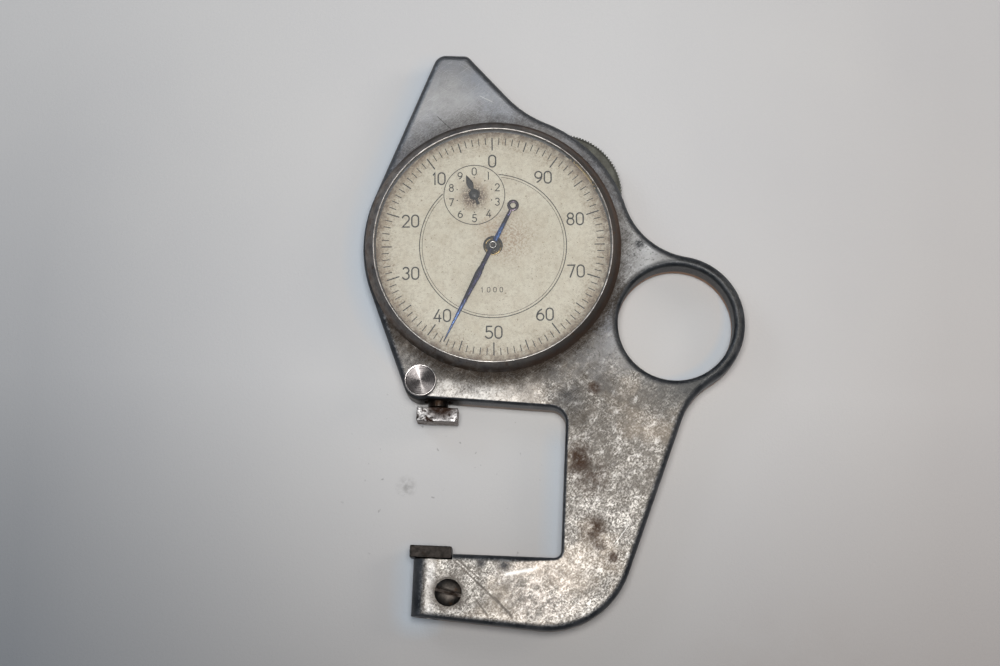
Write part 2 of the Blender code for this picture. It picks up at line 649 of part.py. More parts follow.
def make_clamp_screw(parts, tools):
    face = FRAME_THICKNESS
    head_low = face - 0.6 * MM + GAP
    radius = CLAMP_HEAD_RADIUS
    profile = [
        (0.0, face + 0.75 * MM), (0.55 * radius, face + 0.68 * MM), (0.8 * radius, face + 0.52 * MM),
        (0.96 * radius, face + 0.22 * MM), (radius, face + 0.05 * MM), (radius, head_low),
        (CLAMP_SHANK_RADIUS, head_low), (CLAMP_SHANK_RADIUS, 1.4 * MM), (0.0, 1.4 * MM),
    ]
    place = (*CLAMP_CENTRE, 0.0)
    screw = turned_solid("anvil_clamp_screw", profile, 32, parts, DARK_STEEL, place)
    slot = box("clamp_slot_cutter", (-4 * MM, -0.32 * MM, face + 0.1 * MM),
               (4 * MM, 0.32 * MM, face + 2 * MM), tools)
    slot.location = place
    slot.rotation_euler = (0.0, 0.0, radians(-12.0))
    combine(screw, slot)
    return screw


def make_lock(parts, tools):
    """A turned knob with a dished face on a cam pin that bears on the spindle."""
    base = FRAME_THICKNESS + 0.25 * MM
    top = base + 2.35 * MM
    shank = 1.3 * MM
    rim = 3.05 * MM
    place = (*LOCK_CENTRE, 0.0)
    dish = [(0.0, top - 0.5 * MM), (rim - 0.3 * MM, top - 0.08 * MM), (rim - 0.22 * MM, top),
            (rim - 0.08 * MM, top)]
    flank = [(rim, top - 0.12 * MM), (rim, base + 0.25 * MM), (rim - 0.25 * MM, base), (0.0, base)]
    knob = turned_solid("lock_knob", dish + flank, 36, parts, BRIGHT_STEEL, place)
    socket_top = base + 1.2 * MM
    cut_rod(knob, tools, shank + 0.15 * MM, base - 1 * MM, socket_top, 20, place)

    pin = rod("lock_cam_pin", shank, 1.3 * MM, socket_top - 0.2 * MM, 24, parts, BRIGHT_STEEL, place)
    flat = box("lock_flat_cutter", (1.0 * MM, -2 * MM, 1.0 * MM), (3 * MM, 2 * MM, 7 * MM), tools)
    flat.location = place
    combine(pin, flat)
    return [knob, pin]


# ---------------------------------------------------------------- gears and arbors

def gear_outline(teeth, module, phase):
    """Trapezoid teeth with backlash; phase is the angle of one tooth's centre in degrees."""
    pitch_radius = teeth * module / 2
    tip, root = pitch_radius + 0.8 * module, pitch_radius - 1.1 * module
    pitch = 360.0 / teeth
    points = []
    for number in range(teeth):
        middle = phase + number * pitch
        points += [polar(ORIGIN, root, middle - 0.3 * pitch), polar(ORIGIN, tip, middle - 0.1 * pitch),
                   polar(ORIGIN, tip, middle + 0.1 * pitch), polar(ORIGIN, root, middle + 0.3 * pitch)]
    return points


def meshing_phase(centre_a, teeth_a, phase_a, centre_b, teeth_b):
    """The phase that puts a gap of gear b opposite a tooth of gear a."""
    line = angle_to(centre_a, centre_b)
    return line + 180.0 - (phase_a - line) * teeth_a / teeth_b + 180.0 / teeth_b


def gear(name, teeth, module, phase, levels, bore, centre, parts, look=BRASS):
    loops = [gear_outline(teeth, module, phase)]
    if bore:
        loops.append(circle(ORIGIN, bore, 20))
    return flat_solid(name, loops, *levels, parts, look, centre, 12.0)


def stepped_arbor(name, steps, centre, parts, look=STEEL, sides=16):
    """A turned shaft from (radius, low, high) lengths, listed from the top down."""
    profile = [(0.0, steps[0][2])]
    for radius, low, high in steps:
        profile += [(radius, high), (radius, low)]
    profile.append((0.0, steps[-1][1]))
    return turned_solid(name, profile, sides, parts, look, (*centre, 0.0))


def hub_radius(arbor):
    return arbor + GAP


def make_counter_shaft(parts, tools):
    """Rack pinion, arbor and train gear, turning once per inch, with the counter hand."""
    arbor = stepped_arbor("counter_arbor", [
        (0.5 * MM, FRONT_PLATE_Z[0] - GAP, COUNTER_HAND_Z[0] - GAP),
        (ARBOR_RADIUS, RACK_PINION_Z[0], FRONT_PLATE_Z[0] - GAP),
        (PIVOT_RADIUS, BACK_PLATE_Z[0], RACK_PINION_Z[0]),
    ], COUNTER_CENTRE, parts)
    pinion = gear("rack_pinion_tool", RACK_TEETH_PER_INCH, RACK_MODULE, 180.0,
                  RACK_PINION_Z, 0.0, COUNTER_CENTRE, tools, None)
    combine(arbor, pinion, "UNION")
    train = gear("train_gear", TRAIN_GEAR_TEETH, TRAIN_MODULE, train_phase(), GEAR_Z,
                 hub_radius(ARBOR_RADIUS), COUNTER_CENTRE, parts)
    return [arbor, train, make_counter_hand(parts, tools)]


def make_counter_hand(parts, tools):
    """Leaf-shaped pointer with a stub tail and a domed hub."""
    low, high = COUNTER_HAND_Z
    hub = COUNTER_HUB_RADIUS
    half_outline = [(0.28 * MM, -2.1 * MM), (0.26 * MM, -0.9 * hub), (0.22 * MM, 0.95 * hub),
                    (0.48 * MM, 1.55 * MM), (0.66 * MM, 2.2 * MM), (0.58 * MM, 2.8 * MM),
                    (0.34 * MM, 3.5 * MM)]
    outline = half_outline + [(0.0, COUNTER_HAND_LENGTH)] + [(-x, y) for x, y in half_outline[::-1]]
    hand = flat_solid("counter_hand", [outline], low, high, parts, BLACK_STEEL, COUNTER_CENTRE)
    hand.rotation_euler = (0.0, 0.0, radians(COUNTER_HAND_ANGLE - 90.0))
    dome = [(0.0, high + 0.35 * MM), (0.5 * hub, high + 0.3 * MM), (0.85 * hub, high + 0.15 * MM),
            (hub, high), (hub, low), (0.0, low)]
    cap = turned_solid("counter_hand_hub_tool", dome, 24, tools, None, (*COUNTER_CENTRE, 0.0))
    combine(hand, cap, "UNION")
    return hand


def train_phase():
    return angle_to(COUNTER_CENTRE, ORIGIN)


def pinion_phase():
    return meshing_phase(COUNTER_CENTRE, TRAIN_GEAR_TEETH, train_phase(), ORIGIN, PINION_TEETH)


def make_centre_shaft(parts, tools):
    """Pinion and arbor of the main hand, turning ten times per inch."""
    hand_low, hand_high = MAIN_HAND_Z
    arbor = stepped_arbor("centre_arbor", [
        (0.42 * MM, PINION_Z[1] + 0.1 * MM, hand_high + 0.15 * MM),
        (0.7 * MM, BACK_PLATE_Z[1] + GAP, PINION_Z[1] + 0.1 * MM),
        (PIVOT_RADIUS, BACK_PLATE_Z[0], BACK_PLATE_Z[1] + GAP),
    ], ORIGIN, parts)
    pinion = gear("centre_pinion_tool", PINION_TEETH, TRAIN_MODULE, pinion_phase(), PINION_Z,
                  0.0, ORIGIN, tools, None)
    combine(arbor, pinion, "UNION")
    return [arbor, make_main_hand(parts, tools)]


def make_main_hand(parts, tools):
    """Long tapering pointer with a ring at the end of its tail and a turned collet."""
    hand_low, hand_high = MAIN_HAND_Z
    tail_eye = (0.0, -HAND_EYE_DISTANCE)
    blade = [(0.34 * MM, -7.85 * MM), (0.46 * MM, -0.9 * MM), (0.44 * MM, 4.7 * MM),
             (0.66 * MM, 6.3 * MM), (0.53 * MM, 9.6 * MM), (0.36 * MM, 14.0 * MM),
             (0.14 * MM, 21.1 * MM)]
    outline = blade + [(0.0, MAIN_HAND_LENGTH)] + [(-x, y) for x, y in reversed(blade)]
    hand = flat_solid("main_hand", [outline], hand_low, hand_high, parts, BLUED_STEEL, ORIGIN)
    hand.rotation_euler = (0.0, 0.0, radians(MAIN_HAND_ANGLE - 90.0))
    turned = Matrix.Rotation(radians(MAIN_HAND_ANGLE - 90.0), 4, "Z")
    eye = flat_solid("hand_eye_tool", [circle(ORIGIN, HAND_EYE_RADIUS, 24)], hand_low, hand_high, tools)
    eye.location = turned @ Vector((*tail_eye, 0.0))
    combine(hand, eye, "UNION")
    collet = [(0.0, hand_high + 0.12 * MM), (0.72 * MM, hand_high + 0.12 * MM),
              (0.82 * MM, hand_high + 0.02 * MM), (0.82 * MM, hand_low - 0.2 * MM),
              (0.0, hand_low - 0.2 * MM)]
    combine(hand, turned_solid("hand_collet_tool", collet, 24, tools), "UNION")
    eye_hole = rod("hand_eye_hole_tool", HAND_EYE_HOLE, hand_low - 1 * MM, hand_high + 1 * MM,
                   20, tools)
    eye_hole.location = eye.location
    combine(hand, eye_hole)
    combine(hand, rod("hand_bore_tool", 0.5 * MM, 0.0, 20 * MM, 16, tools))
    return hand


def make_thumbwheel(parts):
    centre = thumb_centre()
    wheel_low, wheel_high = WHEEL_Z
    outline = []
    for number in range(WHEEL_KNURLS):
        step = 360.0 / WHEEL_KNURLS
        outline.append(polar(ORIGIN, WHEEL_RADIUS, number * step))
        outline.append(polar(ORIGIN, WHEEL_RADIUS - WHEEL_KNURL_DEPTH, (number + 0.5) * step))
    loops = [outline, circle(ORIGIN, hub_radius(ARBOR_RADIUS), 20)]
    wheel = flat_solid("thumbwheel", loops, wheel_low, wheel_high, parts, WHEEL_STEEL, centre, 12.0)
    phase = meshing_phase(COUNTER_CENTRE, TRAIN_GEAR_TEETH, train_phase(), centre, THUMB_GEAR_TEETH)
    driver = gear("thumbwheel_gear", THUMB_GEAR_TEETH, TRAIN_MODULE, phase, GEAR_Z,
                  hub_radius(ARBOR_RADIUS), centre, parts)
    arbor = stepped_arbor("thumbwheel_arbor", [
        (PIVOT_RADIUS, FRONT_PLATE_Z[0] - GAP, FRONT_PLATE_Z[1]),
        (ARBOR_RADIUS, BACK_PLATE_Z[1] + 0.15 * MM, FRONT_PLATE_Z[0] - GAP),
        (PIVOT_RADIUS, BACK_PLATE_Z[0], BACK_PLATE_Z[1] + 0.15 * MM),
    ], centre, parts)
    return [wheel, driver, arbor]


def spiral_points(inner, outer, turns, steps_per_turn):
    count = turns * steps_per_turn
    return [polar(ORIGIN, inner + (outer - inner) * i / count, 360.0 * i / steps_per_turn)
            for i in range(count + 1)]


def make_takeup(parts):
    """Backlash gear on the main pinion, loaded by a flat spiral hairspring."""
    centre = takeup_centre()
    phase = meshing_phase(ORIGIN, PINION_TEETH, pinion_phase(), centre, TAKEUP_GEAR_TEETH)
    wheel = gear("takeup_gear", TAKEUP_GEAR_TEETH, TRAIN_MODULE, phase, GEAR_Z,
                 hub_radius(0.7 * MM), centre, parts)
    arbor = stepped_arbor("takeup_arbor", [
        (PIVOT_RADIUS, FRONT_PLATE_Z[0] - GAP, FRONT_PLATE_Z[1]),
        (0.7 * MM, BACK_PLATE_Z[1] + 0.15 * MM, FRONT_PLATE_Z[0] - GAP),
        (PIVOT_RADIUS, BACK_PLATE_Z[0], BACK_PLATE_Z[1] + 0.15 * MM),
    ], centre, parts)
    curve = bpy.data.curves.new("hairspring", "CURVE")
    curve.dimensions = "3D"
    curve.bevel_depth = 0.13 * MM
    curve.bevel_resolution = 2
    curve.use_fill_caps = True
    spline = curve.splines.new("POLY")
    places = spiral_points(1.25 * MM, 4.1 * MM, 3, 12)
    spline.points.add(len(places) - 1)
    for spot, (x, y) in zip(spline.points, places):
        spot.co = (x, y, 0.0, 1.0)
    spring = add_object("hairspring", curve, parts, BLUED_STEEL)
    spring.location = (*centre, 4.4 * MM)
    return [wheel, arbor, spring]


# ---------------------------------------------------------------- movement plates

def pivot_centres():
    return (ORIGIN, COUNTER_CENTRE, thumb_centre(), takeup_centre())


def make_plates(parts):
    """The back plate is cut away beside the spindle; the front plate is a full disc."""
    low, high = BACK_PLATE_Z
    edge = degrees(asin(-BACK_PLATE_LEFT_X / PLATE_RADIUS)) + 90.0
    back_loops = [arc(ORIGIN, PLATE_RADIUS, -edge, edge, 6.0)]
    screw_hole = 0.65 * MM
    back_loops += [circle(centre, PIVOT_HOLE_RADIUS, 12) for centre in pivot_centres()]
    back_loops += [circle(centre, screw_hole, 12) for centre in PILLAR_CENTRES]
    back_loops.append(circle(guide_screw_centre(), screw_hole, 12))
    flat_solid("movement_back_plate", back_loops, low, high, parts, BRASS)

    front_loops = [circle(ORIGIN, PLATE_RADIUS, 60)]
    front_loops += [circle(ORIGIN, 1.7 * MM, 24)]
    front_loops += [circle(centre, 0.7 * MM, 12) for centre in pivot_centres()[1:]]
    front_loops += [circle(centre, 0.7 * MM, 12) for centre in PILLAR_CENTRES]
    flat_solid("movement_front_plate", front_loops, *FRONT_PLATE_Z, parts, BRASS)


def make_pillars(parts):
    """Pillars between the plates, each with a screw from the front."""
    low, high = BACK_PLATE_Z[1] + 0.1 * MM, FRONT_PLATE_Z[0] - 0.1 * MM
    hole = 0.65 * MM
    for number, centre in enumerate(PILLAR_CENTRES, 1):
        place = (*centre, 0.0)
        profile = [(PILLAR_RADIUS, high), (PILLAR_RADIUS, low), (hole, low), (hole, high)]
        turned_solid(f"plate_pillar_{number}", profile, 16, parts, BRASS, place)
        top = FRONT_PLATE_Z[1] + 0.22 * MM
        head_low = FRONT_PLATE_Z[1] + 0.04 * MM
        screw = [(0.0, top), (1.0 * MM, top), (1.0 * MM, head_low), (0.4 * MM, head_low),
                 (0.4 * MM, BACK_PLATE_Z[0]), (0.0, BACK_PLATE_Z[0])]
        turned_solid(f"plate_screw_{number}", screw, 16, parts, BRIGHT_STEEL, place)


def make_centre_bush(parts):
    """Flanged brass bush that steadies the main arbor in the front plate."""
    low, high = FRONT_PLATE_Z
    profile = [(1.35 * MM, high + 0.5 * MM), (1.35 * MM, low), (0.75 * MM, low),
               (0.75 * MM, high + 0.5 * MM)]
    return turned_solid("centre_bush", profile, 24, parts, BRASS)


def guide_screw_centre():
    return (-4.3 * MM, -4.5 * MM)


def make_guide_block(parts, tools):
    """Steadies the spindle behind the rack; screwed to the back plate's edge."""
    body_low = (SPINDLE_X - 3.1 * MM, -8.0 * MM, 1.3 * MM)
    body_high = (BACK_PLATE_LEFT_X + 0.1 * MM - GAP, -1.0 * MM, 6.85 * MM)
    block = box("spindle_guide_block", body_low, body_high, parts, BRASS)
    foot = box("guide_foot_tool", (body_high[0] - 1 * MM, -7.5 * MM, BACK_PLATE_Z[1] + 0.1 * MM),
               (-2.8 * MM, -1.5 * MM, 4.2 * MM), tools)
    combine(block, foot, "UNION")
    place = (SPINDLE_X, 0.0, SPINDLE_Z)
    cut_rod(block, tools, SPINDLE_RADIUS + 0.1 * MM, -20 * MM, 10 * MM, 28, place, True)
    screw_at = (*guide_screw_centre(), 0.0)
    cut_rod(block, tools, 0.65 * MM, 0.0, 10 * MM, 12, screw_at)
    profile = [(0.0, 4.9 * MM), (0.95 * MM, 4.9 * MM), (0.95 * MM, 4.35 * MM),
               (0.4 * MM, 4.35 * MM), (0.4 * MM, BACK_PLATE_Z[0]), (0.0, BACK_PLATE_Z[0])]
    turned_solid("guide_block_screw", profile, 16, parts, BRIGHT_STEEL, screw_at)
    return block


def make_hairspring_stud(parts):
    centre = takeup_centre()
    place = (centre[0] + 4.75 * MM, centre[1], 0.0)
    profile = [(0.0, 5.2 * MM), (0.4 * MM, 5.2 * MM), (0.4 * MM, BACK_PLATE_Z[1] + 0.1 * MM),
               (0.0, BACK_PLATE_Z[1] + 0.1 * MM)]
    return turned_solid("hairspring_stud", profile, 12, parts, BRASS, place)


# ---------------------------------------------------------------- assembly

def axis_empty(name, place, group, pieces):
    """Parents pieces to an empty that stands on their joint's axis."""
    empty = bpy.data.objects.new(name, None)
    group.objects.link(empty)
    empty.location = place
    bpy.context.view_layer.update()
    for piece in pieces:
        piece.parent = empty
        piece.matrix_parent_inverse = empty.matrix_world.inverted()


def build():
    clear_scene()
    parts = new_collection("dial_thickness_gauge")
    tools = new_collection("cutters")

    make_frame(parts, tools)
    make_back_cover(parts, tools)
    make_bezel(parts)
    make_crystal(parts)
    make_dial(parts)
    make_plates(parts)
    make_pillars(parts)
    make_centre_bush(parts)
    make_guide_block(parts, tools)
    make_hairspring_stud(parts)
    make_lower_bush(parts, tools)
    make_clamp_screw(parts, tools)

    spindle = [make_spindle(parts, tools), make_pad(parts, tools)]
    axis_empty("spindle_axis", (SPINDLE_X, 0.0, SPINDLE_Z), parts, spindle)
    anvil = [make_anvil(parts, tools)]
    axis_empty("anvil_axis", (SPINDLE_X, ANVIL_SEAT_Y, SPINDLE_Z), parts, anvil)
    axis_empty("counter_axis", (*COUNTER_CENTRE, 0.0), parts, make_counter_shaft(parts, tools))
    axis_empty("centre_axis", (0.0, 0.0, 0.0), parts, make_centre_shaft(parts, tools))
    axis_empty("thumbwheel_axis", (*thumb_centre(), 0.0), parts, make_thumbwheel(parts))
    axis_empty("takeup_axis", (*takeup_centre(), 0.0), parts, make_takeup(parts))
    axis_empty("lock_axis", (*LOCK_CENTRE, 0.0), parts, make_lock(parts, tools))


build()
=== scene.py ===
"""Look scene for the pocket dial thickness gauge: finer visible pieces and worn materials.

Lengths are in millimetres until a mesh is made, and angles are in degrees. The axes are the
frame's: origin at the back face on the dial axis, +Z out of the dial, +Y towards the horn.
"""

from math import acos, asin, atan2, ceil, cos, degrees, dist, hypot, pi, radians, sin, sqrt, tan
from types import SimpleNamespace

import bmesh
import bpy
from mathutils import Matrix, Vector, noise


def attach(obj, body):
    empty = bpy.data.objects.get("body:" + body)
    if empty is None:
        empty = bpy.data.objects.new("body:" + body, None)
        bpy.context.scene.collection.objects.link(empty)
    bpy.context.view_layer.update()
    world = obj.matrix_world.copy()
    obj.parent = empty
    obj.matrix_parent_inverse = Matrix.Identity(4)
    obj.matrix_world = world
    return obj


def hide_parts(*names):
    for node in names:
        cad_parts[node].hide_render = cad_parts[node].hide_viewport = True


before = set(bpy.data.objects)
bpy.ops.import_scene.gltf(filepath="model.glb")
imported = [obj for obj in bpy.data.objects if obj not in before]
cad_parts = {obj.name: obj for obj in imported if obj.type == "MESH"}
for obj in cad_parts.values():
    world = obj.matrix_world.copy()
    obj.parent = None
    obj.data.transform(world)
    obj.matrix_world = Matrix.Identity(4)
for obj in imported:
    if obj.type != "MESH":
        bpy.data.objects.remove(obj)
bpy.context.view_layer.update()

MM = 0.001
ORIGIN = (0, 0)
THICK = 8
HORN_SIDE = 159.5
JAW_END = -12.75
COUNTER = (-4.1, 10.1)
THUMB = (12.682, 11.568)
RING = (36.2, -13.9)
LOCK = (-12.8, -27.5)
CLAMP = (-5.73, -67.7)
SPINDLE_X, SPINDLE_Z = -9.5, 4
DIAL_FACE = 8.45
DIAL_TILT = 2.9
MAIN_READING, COUNTER_READING = 42.5, 9.4
MAIN_ANGLE = DIAL_TILT + MAIN_READING * 3.6
COUNTER_ANGLE = DIAL_TILT - COUNTER_READING * 36


# ---------------------------------------------------------------- plane geometry

def polar(centre, radius, angle):
    return (centre[0] + radius * cos(radians(angle)), centre[1] + radius * sin(radians(angle)))


def arc(centre, radius, start, end, step=3):
    count = max(1, ceil(abs(end - start) / step))
    return [polar(centre, radius, start + (end - start) * i / count) for i in range(count + 1)]


def circle(centre, radius, sides):
    return [polar(centre, radius, 360 * i / sides) for i in range(sides)]


def angle_to(start, end):
    return degrees(atan2(end[1] - start[1], end[0] - start[0]))


def sideways(point, heading, distance):
    return polar(point, distance, heading + 90)


def lines_meet(point_a, heading_a, point_b, heading_b):
    gap_x, gap_y = point_b[0] - point_a[0], point_b[1] - point_a[1]
    across = sin(radians(heading_b - heading_a))
    along = (gap_x * sin(radians(heading_b)) - gap_y * cos(radians(heading_b))) / across
    return polar(point_a, along, heading_a)


def circles_meet(centre_a, radius_a, centre_b, radius_b, turn):
    distance = hypot(centre_b[0] - centre_a[0], centre_b[1] - centre_a[1])
    along = (radius_a ** 2 - radius_b ** 2 + distance ** 2) / (2 * distance)
    swing = degrees(atan2(sqrt(radius_a ** 2 - along ** 2), along))
    return polar(centre_a, radius_a, angle_to(centre_a, centre_b) + turn * swing)


def line_meets_circle(point, heading, centre, radius, turn):
    to_x, to_y = centre[0] - point[0], centre[1] - point[1]
    along = to_x * cos(radians(heading)) + to_y * sin(radians(heading))
    off = hypot(to_x, to_y) ** 2 - along ** 2
    return polar(point, along + turn * sqrt(radius ** 2 - off), heading)


def corner(point, heading_in, heading_out, radius, step=5):
    turn = (heading_out - heading_in + 180) % 360 - 180
    side = 1 if turn > 0 else -1
    start = polar(point, -radius * tan(radians(abs(turn) / 2)), heading_in)
    centre = sideways(start, heading_in, side * radius)
    first = heading_in - side * 90
    return arc(centre, radius, first, first + turn, step)


# ---------------------------------------------------------------- meshes

def scratch_object(name, mesh):
    made = bpy.data.objects.new(name, mesh)
    bpy.context.scene.collection.objects.link(made)
    return made


def new_mesh(name, spots, faces):
    """A closed mesh from millimetre points, welded and facing out."""
    mesh = bpy.data.meshes.new(name)
    mesh.from_pydata([tuple(c * MM for c in spot) for spot in spots], [], faces)
    shell = bmesh.new()
    shell.from_mesh(mesh)
    bmesh.ops.remove_doubles(shell, verts=shell.verts, dist=1e-7)
    bmesh.ops.recalc_face_normals(shell, faces=shell.faces)
    shell.to_mesh(mesh)
    shell.free()
    return mesh


def lathe(name, profile, sides, ridges=None):
    """Turns (radius, z) points, listed down the outer side. ridges maps a point's index to how
    far every other side is sunk there, which makes a knurl."""
    ridges = ridges or {}
    spots, faces, rings = [], [], []
    for index, (radius, z) in enumerate(profile):
        if radius < 1e-6:
            rings.append([len(spots)] * sides)
            spots.append((0, 0, z))
            continue
        rings.append(list(range(len(spots), len(spots) + sides)))
        for side in range(sides):
            sunk = ridges.get(index, 0) if side % 2 else 0
            spots.append((*polar(ORIGIN, radius - sunk, 360 * side / sides), z))
    pairs = list(zip(rings, rings[1:]))
    if profile[0][0] > 1e-6:
        pairs.append((rings[-1], rings[0]))
    for upper, lower in pairs:
        for side in range(sides):
            after = (side + 1) % sides
            face = dict.fromkeys((upper[side], lower[side], lower[after], upper[after]))
            if len(face) > 2:
                faces.append(list(face))
    return new_mesh(name, spots, faces)


def turned(name, *shape):
    return scratch_object(name, lathe(name, *shape))


def prism(name, outline, low, high):
    count = len(outline)
    spots = [(x, y, low) for x, y in outline] + [(x, y, high) for x, y in outline]
    faces = [list(range(count))[::-1], list(range(count, 2 * count))]
    faces += [[i, (i + 1) % count, (i + 1) % count + count, i + count] for i in range(count)]
    return new_mesh(name, spots, faces)


def block(name, low, high):
    (x0, y0, z0), (x1, y1, z1) = low, high
    return prism(name, [(x0, y0), (x1, y0), (x1, y1), (x0, y1)], z0, z1)


def placed(mesh, x=0, y=0, z=0, turn=0):
    mesh.transform(Matrix.Translation((x * MM, y * MM, z * MM)) @ Matrix.Rotation(radians(turn), 4, "Z"))
    return mesh


def along_y(mesh, x, z):
    mesh.transform(Matrix.Translation((x * MM, 0, z * MM)) @ Matrix.Rotation(-pi / 2, 4, "X"))
    return mesh


def settle(piece):
    """Turns a piece's modifiers into its mesh."""
    bpy.context.view_layer.update()
    graph = bpy.context.evaluated_depsgraph_get()
    mesh = bpy.data.meshes.new_from_object(piece.evaluated_get(graph))
    piece.modifiers.clear()
    old, piece.data = piece.data, mesh
    bpy.data.meshes.remove(old)
    return piece


def boolean(piece, tools, operation="DIFFERENCE"):
    helpers = [scratch_object("tool", tool) for tool in tools]
    for helper in helpers:
        step = piece.modifiers.new("cut", "BOOLEAN")
        step.operation = operation
        step.solver = "EXACT"
        step.object = helper
    settle(piece)
    for helper in helpers:
        bpy.data.objects.remove(helper, do_unlink=True)
    return piece


def rounded(piece, width, segments, angle):
    step = piece.modifiers.new("round", "BEVEL")
    step.width = width * MM
    step.segments = segments
    step.limit_method = "ANGLE"
    step.angle_limit = radians(angle)
    return settle(piece)


def show(piece, look, body, slot, *nodes, sharp=38, weighted=True):
    """Finishes a visible piece: shading, material, body and what it stands for. The slot is not used."""
    mesh = piece.data
    mesh.materials.clear()
    mesh.materials.append(look)
    mesh.shade_smooth()
    mesh.set_sharp_from_angle(angle=radians(sharp))
    if weighted:
        step = piece.modifiers.new("flat_faces", "WEIGHTED_NORMAL")
        step.keep_sharp = True
        step.weight = 80
    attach(piece, body)
    if nodes:
        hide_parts(*nodes)
    return piece


def joined(name, meshes):
    shell = bmesh.new()
    for mesh in meshes:
        shell.from_mesh(mesh)
    whole = bpy.data.meshes.new(name)
    shell.to_mesh(whole)
    shell.free()
    for mesh in meshes:
        bpy.data.meshes.remove(mesh)
    return whole


# ---------------------------------------------------------------- materials

class Look:
    """A node material in the making. Texture sizes are millimetres on the object.

    base() starts its colour, and each coat() lays another colour over it where the masks are 1.
    """

    def __init__(self, name, **sockets):
        self.material = bpy.data.materials.new(name)
        self.material.use_nodes = True
        self.tree = self.material.node_tree
        self.shader = self.tree.nodes["Principled BSDF"]
        for socket, value in sockets.items():
            self.shader.inputs[socket.replace("_", " ")].default_value = value
        self.coords = self.tree.nodes.new("ShaderNodeTexCoord").outputs
        self.space = self.node("VectorMath", "SCALE", {0: self.coords["Object"], "Scale": 1 / MM})
        self.x, self.y, self.z = self.split(self.space)
        self.colour = None

    def node(self, kind, operation, inputs, output=0, **settings):
        made = self.tree.nodes.new("ShaderNode" + kind)
        if operation:
            made.operation = operation
        for key, value in settings.items():
            setattr(made, key, value)
        for key, value in inputs.items():
            if isinstance(value, bpy.types.NodeSocket):
                self.tree.links.new(value, made.inputs[key])
            else:
                made.inputs[key].default_value = value
        return made.outputs[output]

    def split(self, vector):
        made = self.tree.nodes.new("ShaderNodeSeparateXYZ")
        self.tree.links.new(vector, made.inputs[0])
        return made.outputs

    def math(self, operation, a, b=0, clamp=False):
        return self.node("Math", operation, {0: a, 1: b}, use_clamp=clamp)

    def chain(self, operation, values):
        total = values[0]
        for value in values[1:]:
            total = self.math(operation, total, value)
        return total

    def times(self, *values):
        return self.chain("MULTIPLY", values)

    def most(self, *values):
        return self.chain("MAXIMUM", values)

    def add(self, *values):
        return self.chain("ADD", values)

    def less(self, *values):
        return self.chain("SUBTRACT", values)

    def ramp(self, value, low, high, to_low=0, to_high=1):
        return self.node("MapRange", None, {0: value, 1: low, 2: high, 3: to_low, 4: to_high})

    def by_x(self, *span):
        return self.ramp(self.x, *span)

    def by_y(self, *span):
        return self.ramp(self.y, *span)

    def by_z(self, *span):
        return self.ramp(self.z, *span)

    def moved(self, turn=0, shift=(0, 0, 0)):
        return self.node("Mapping", None, {
            "Vector": self.space, "Location": shift, "Rotation": (0, 0, radians(turn))})

    def grain(self, turn, length, width, shift=0):
        """Coordinates drawn out along a direction, in units of the length and the width."""
        return self.node("Mapping", None, {
            "Vector": self.space, "Location": (shift, shift, 0), "Scale": (length, width, width),
            "Rotation": (0, 0, radians(turn))}, vector_type="TEXTURE")

    def noise(self, size, detail=4, rough=0.55, at=None, distortion=0):
        return self.node("TexNoise", None, {
            "Vector": at or self.space, "Scale": 1 / size, "Detail": detail,
            "Roughness": rough, "Distortion": distortion})

    def patches(self, size, detail, rough, *span):
        return self.ramp(self.noise(size, detail, rough), *span)

    def rings(self, radius, scale, detail):
        """Lathe lines: noise that changes only with the radius."""
        at = self.node("CombineXYZ", None, {0: radius})
        return self.node("TexNoise", None, {"Vector": at, "Scale": scale, "Detail": detail})

    def away_from(self, x, y):
        """Distance in the plane from a point."""
        flat = self.node("CombineXYZ", None, {0: self.x, 1: self.y, 2: 0})
        return self.node("VectorMath", "DISTANCE", {0: flat, 1: (x, y, 0)}, output=1)

    def along(self, heading):
        """Distance from the origin along a heading."""
        x, y = polar(ORIGIN, 1, heading)
        return self.add(self.times(self.x, x), self.times(self.y, y))

    def blob(self, x, y, inner, outer):
        """1 inside the inner radius, falling to 0 at the outer."""
        return self.ramp(self.away_from(x, y), inner, outer, 1, 0)

    def blobs(self, *spots):
        """The strongest of several blobs, each with a strength after its radii where it is not 1."""
        return self.most(*(self.times(self.blob(*spot[:4]), *spot[4:]) for spot in spots))

    def tilt(self, upright, sloped):
        """0 where the surface faces up, 1 where it has turned aside or under."""
        facing = self.split(self.coords["Normal"])[2]
        return self.ramp(self.math("ABSOLUTE", facing), upright, sloped)

    def streaks(self, turn, length, width, low, high, shift=0):
        """Sparse scratches that run along a direction."""
        at = self.grain(turn, length, width, shift)
        return self.ramp(self.noise(1, 2, 0.6, at), low, high)

    def line(self, start, end, width):
        """One scratch from start to end, 1 along its middle."""
        length = hypot(end[0] - start[0], end[1] - start[1])
        turn = angle_to(start, end)
        shift_x = -(start[0] * cos(radians(turn)) + start[1] * sin(radians(turn)))
        shift_y = -(start[1] * cos(radians(turn)) - start[0] * sin(radians(turn)))
        along, aside, _ = self.split(self.moved(-turn, (shift_x, shift_y, 0)))
        near = self.ramp(self.math("ABSOLUTE", aside), 0, width, 1, 0)
        begun = self.ramp(along, 0, length * 0.1)
        ended = self.ramp(along, length * 0.8, length, 1, 0)
        return self.times(near, begun, ended)

    def lines(self, *scratches):
        return self.most(*(self.line(*scratch) for scratch in scratches))

    def mix(self, factor, under, over):
        inputs = {0: factor}
        for key, colour in ((6, under), (7, over)):
            inputs[key] = colour if isinstance(colour, bpy.types.NodeSocket) else (*colour, 1)
        return self.node("Mix", None, inputs, 2, data_type="RGBA")

    def base(self, factor, under, over):
        self.colour = self.mix(factor, under, over)

    def coat(self, colour, *masks):
        self.colour = self.mix(self.times(*masks), self.colour, colour)

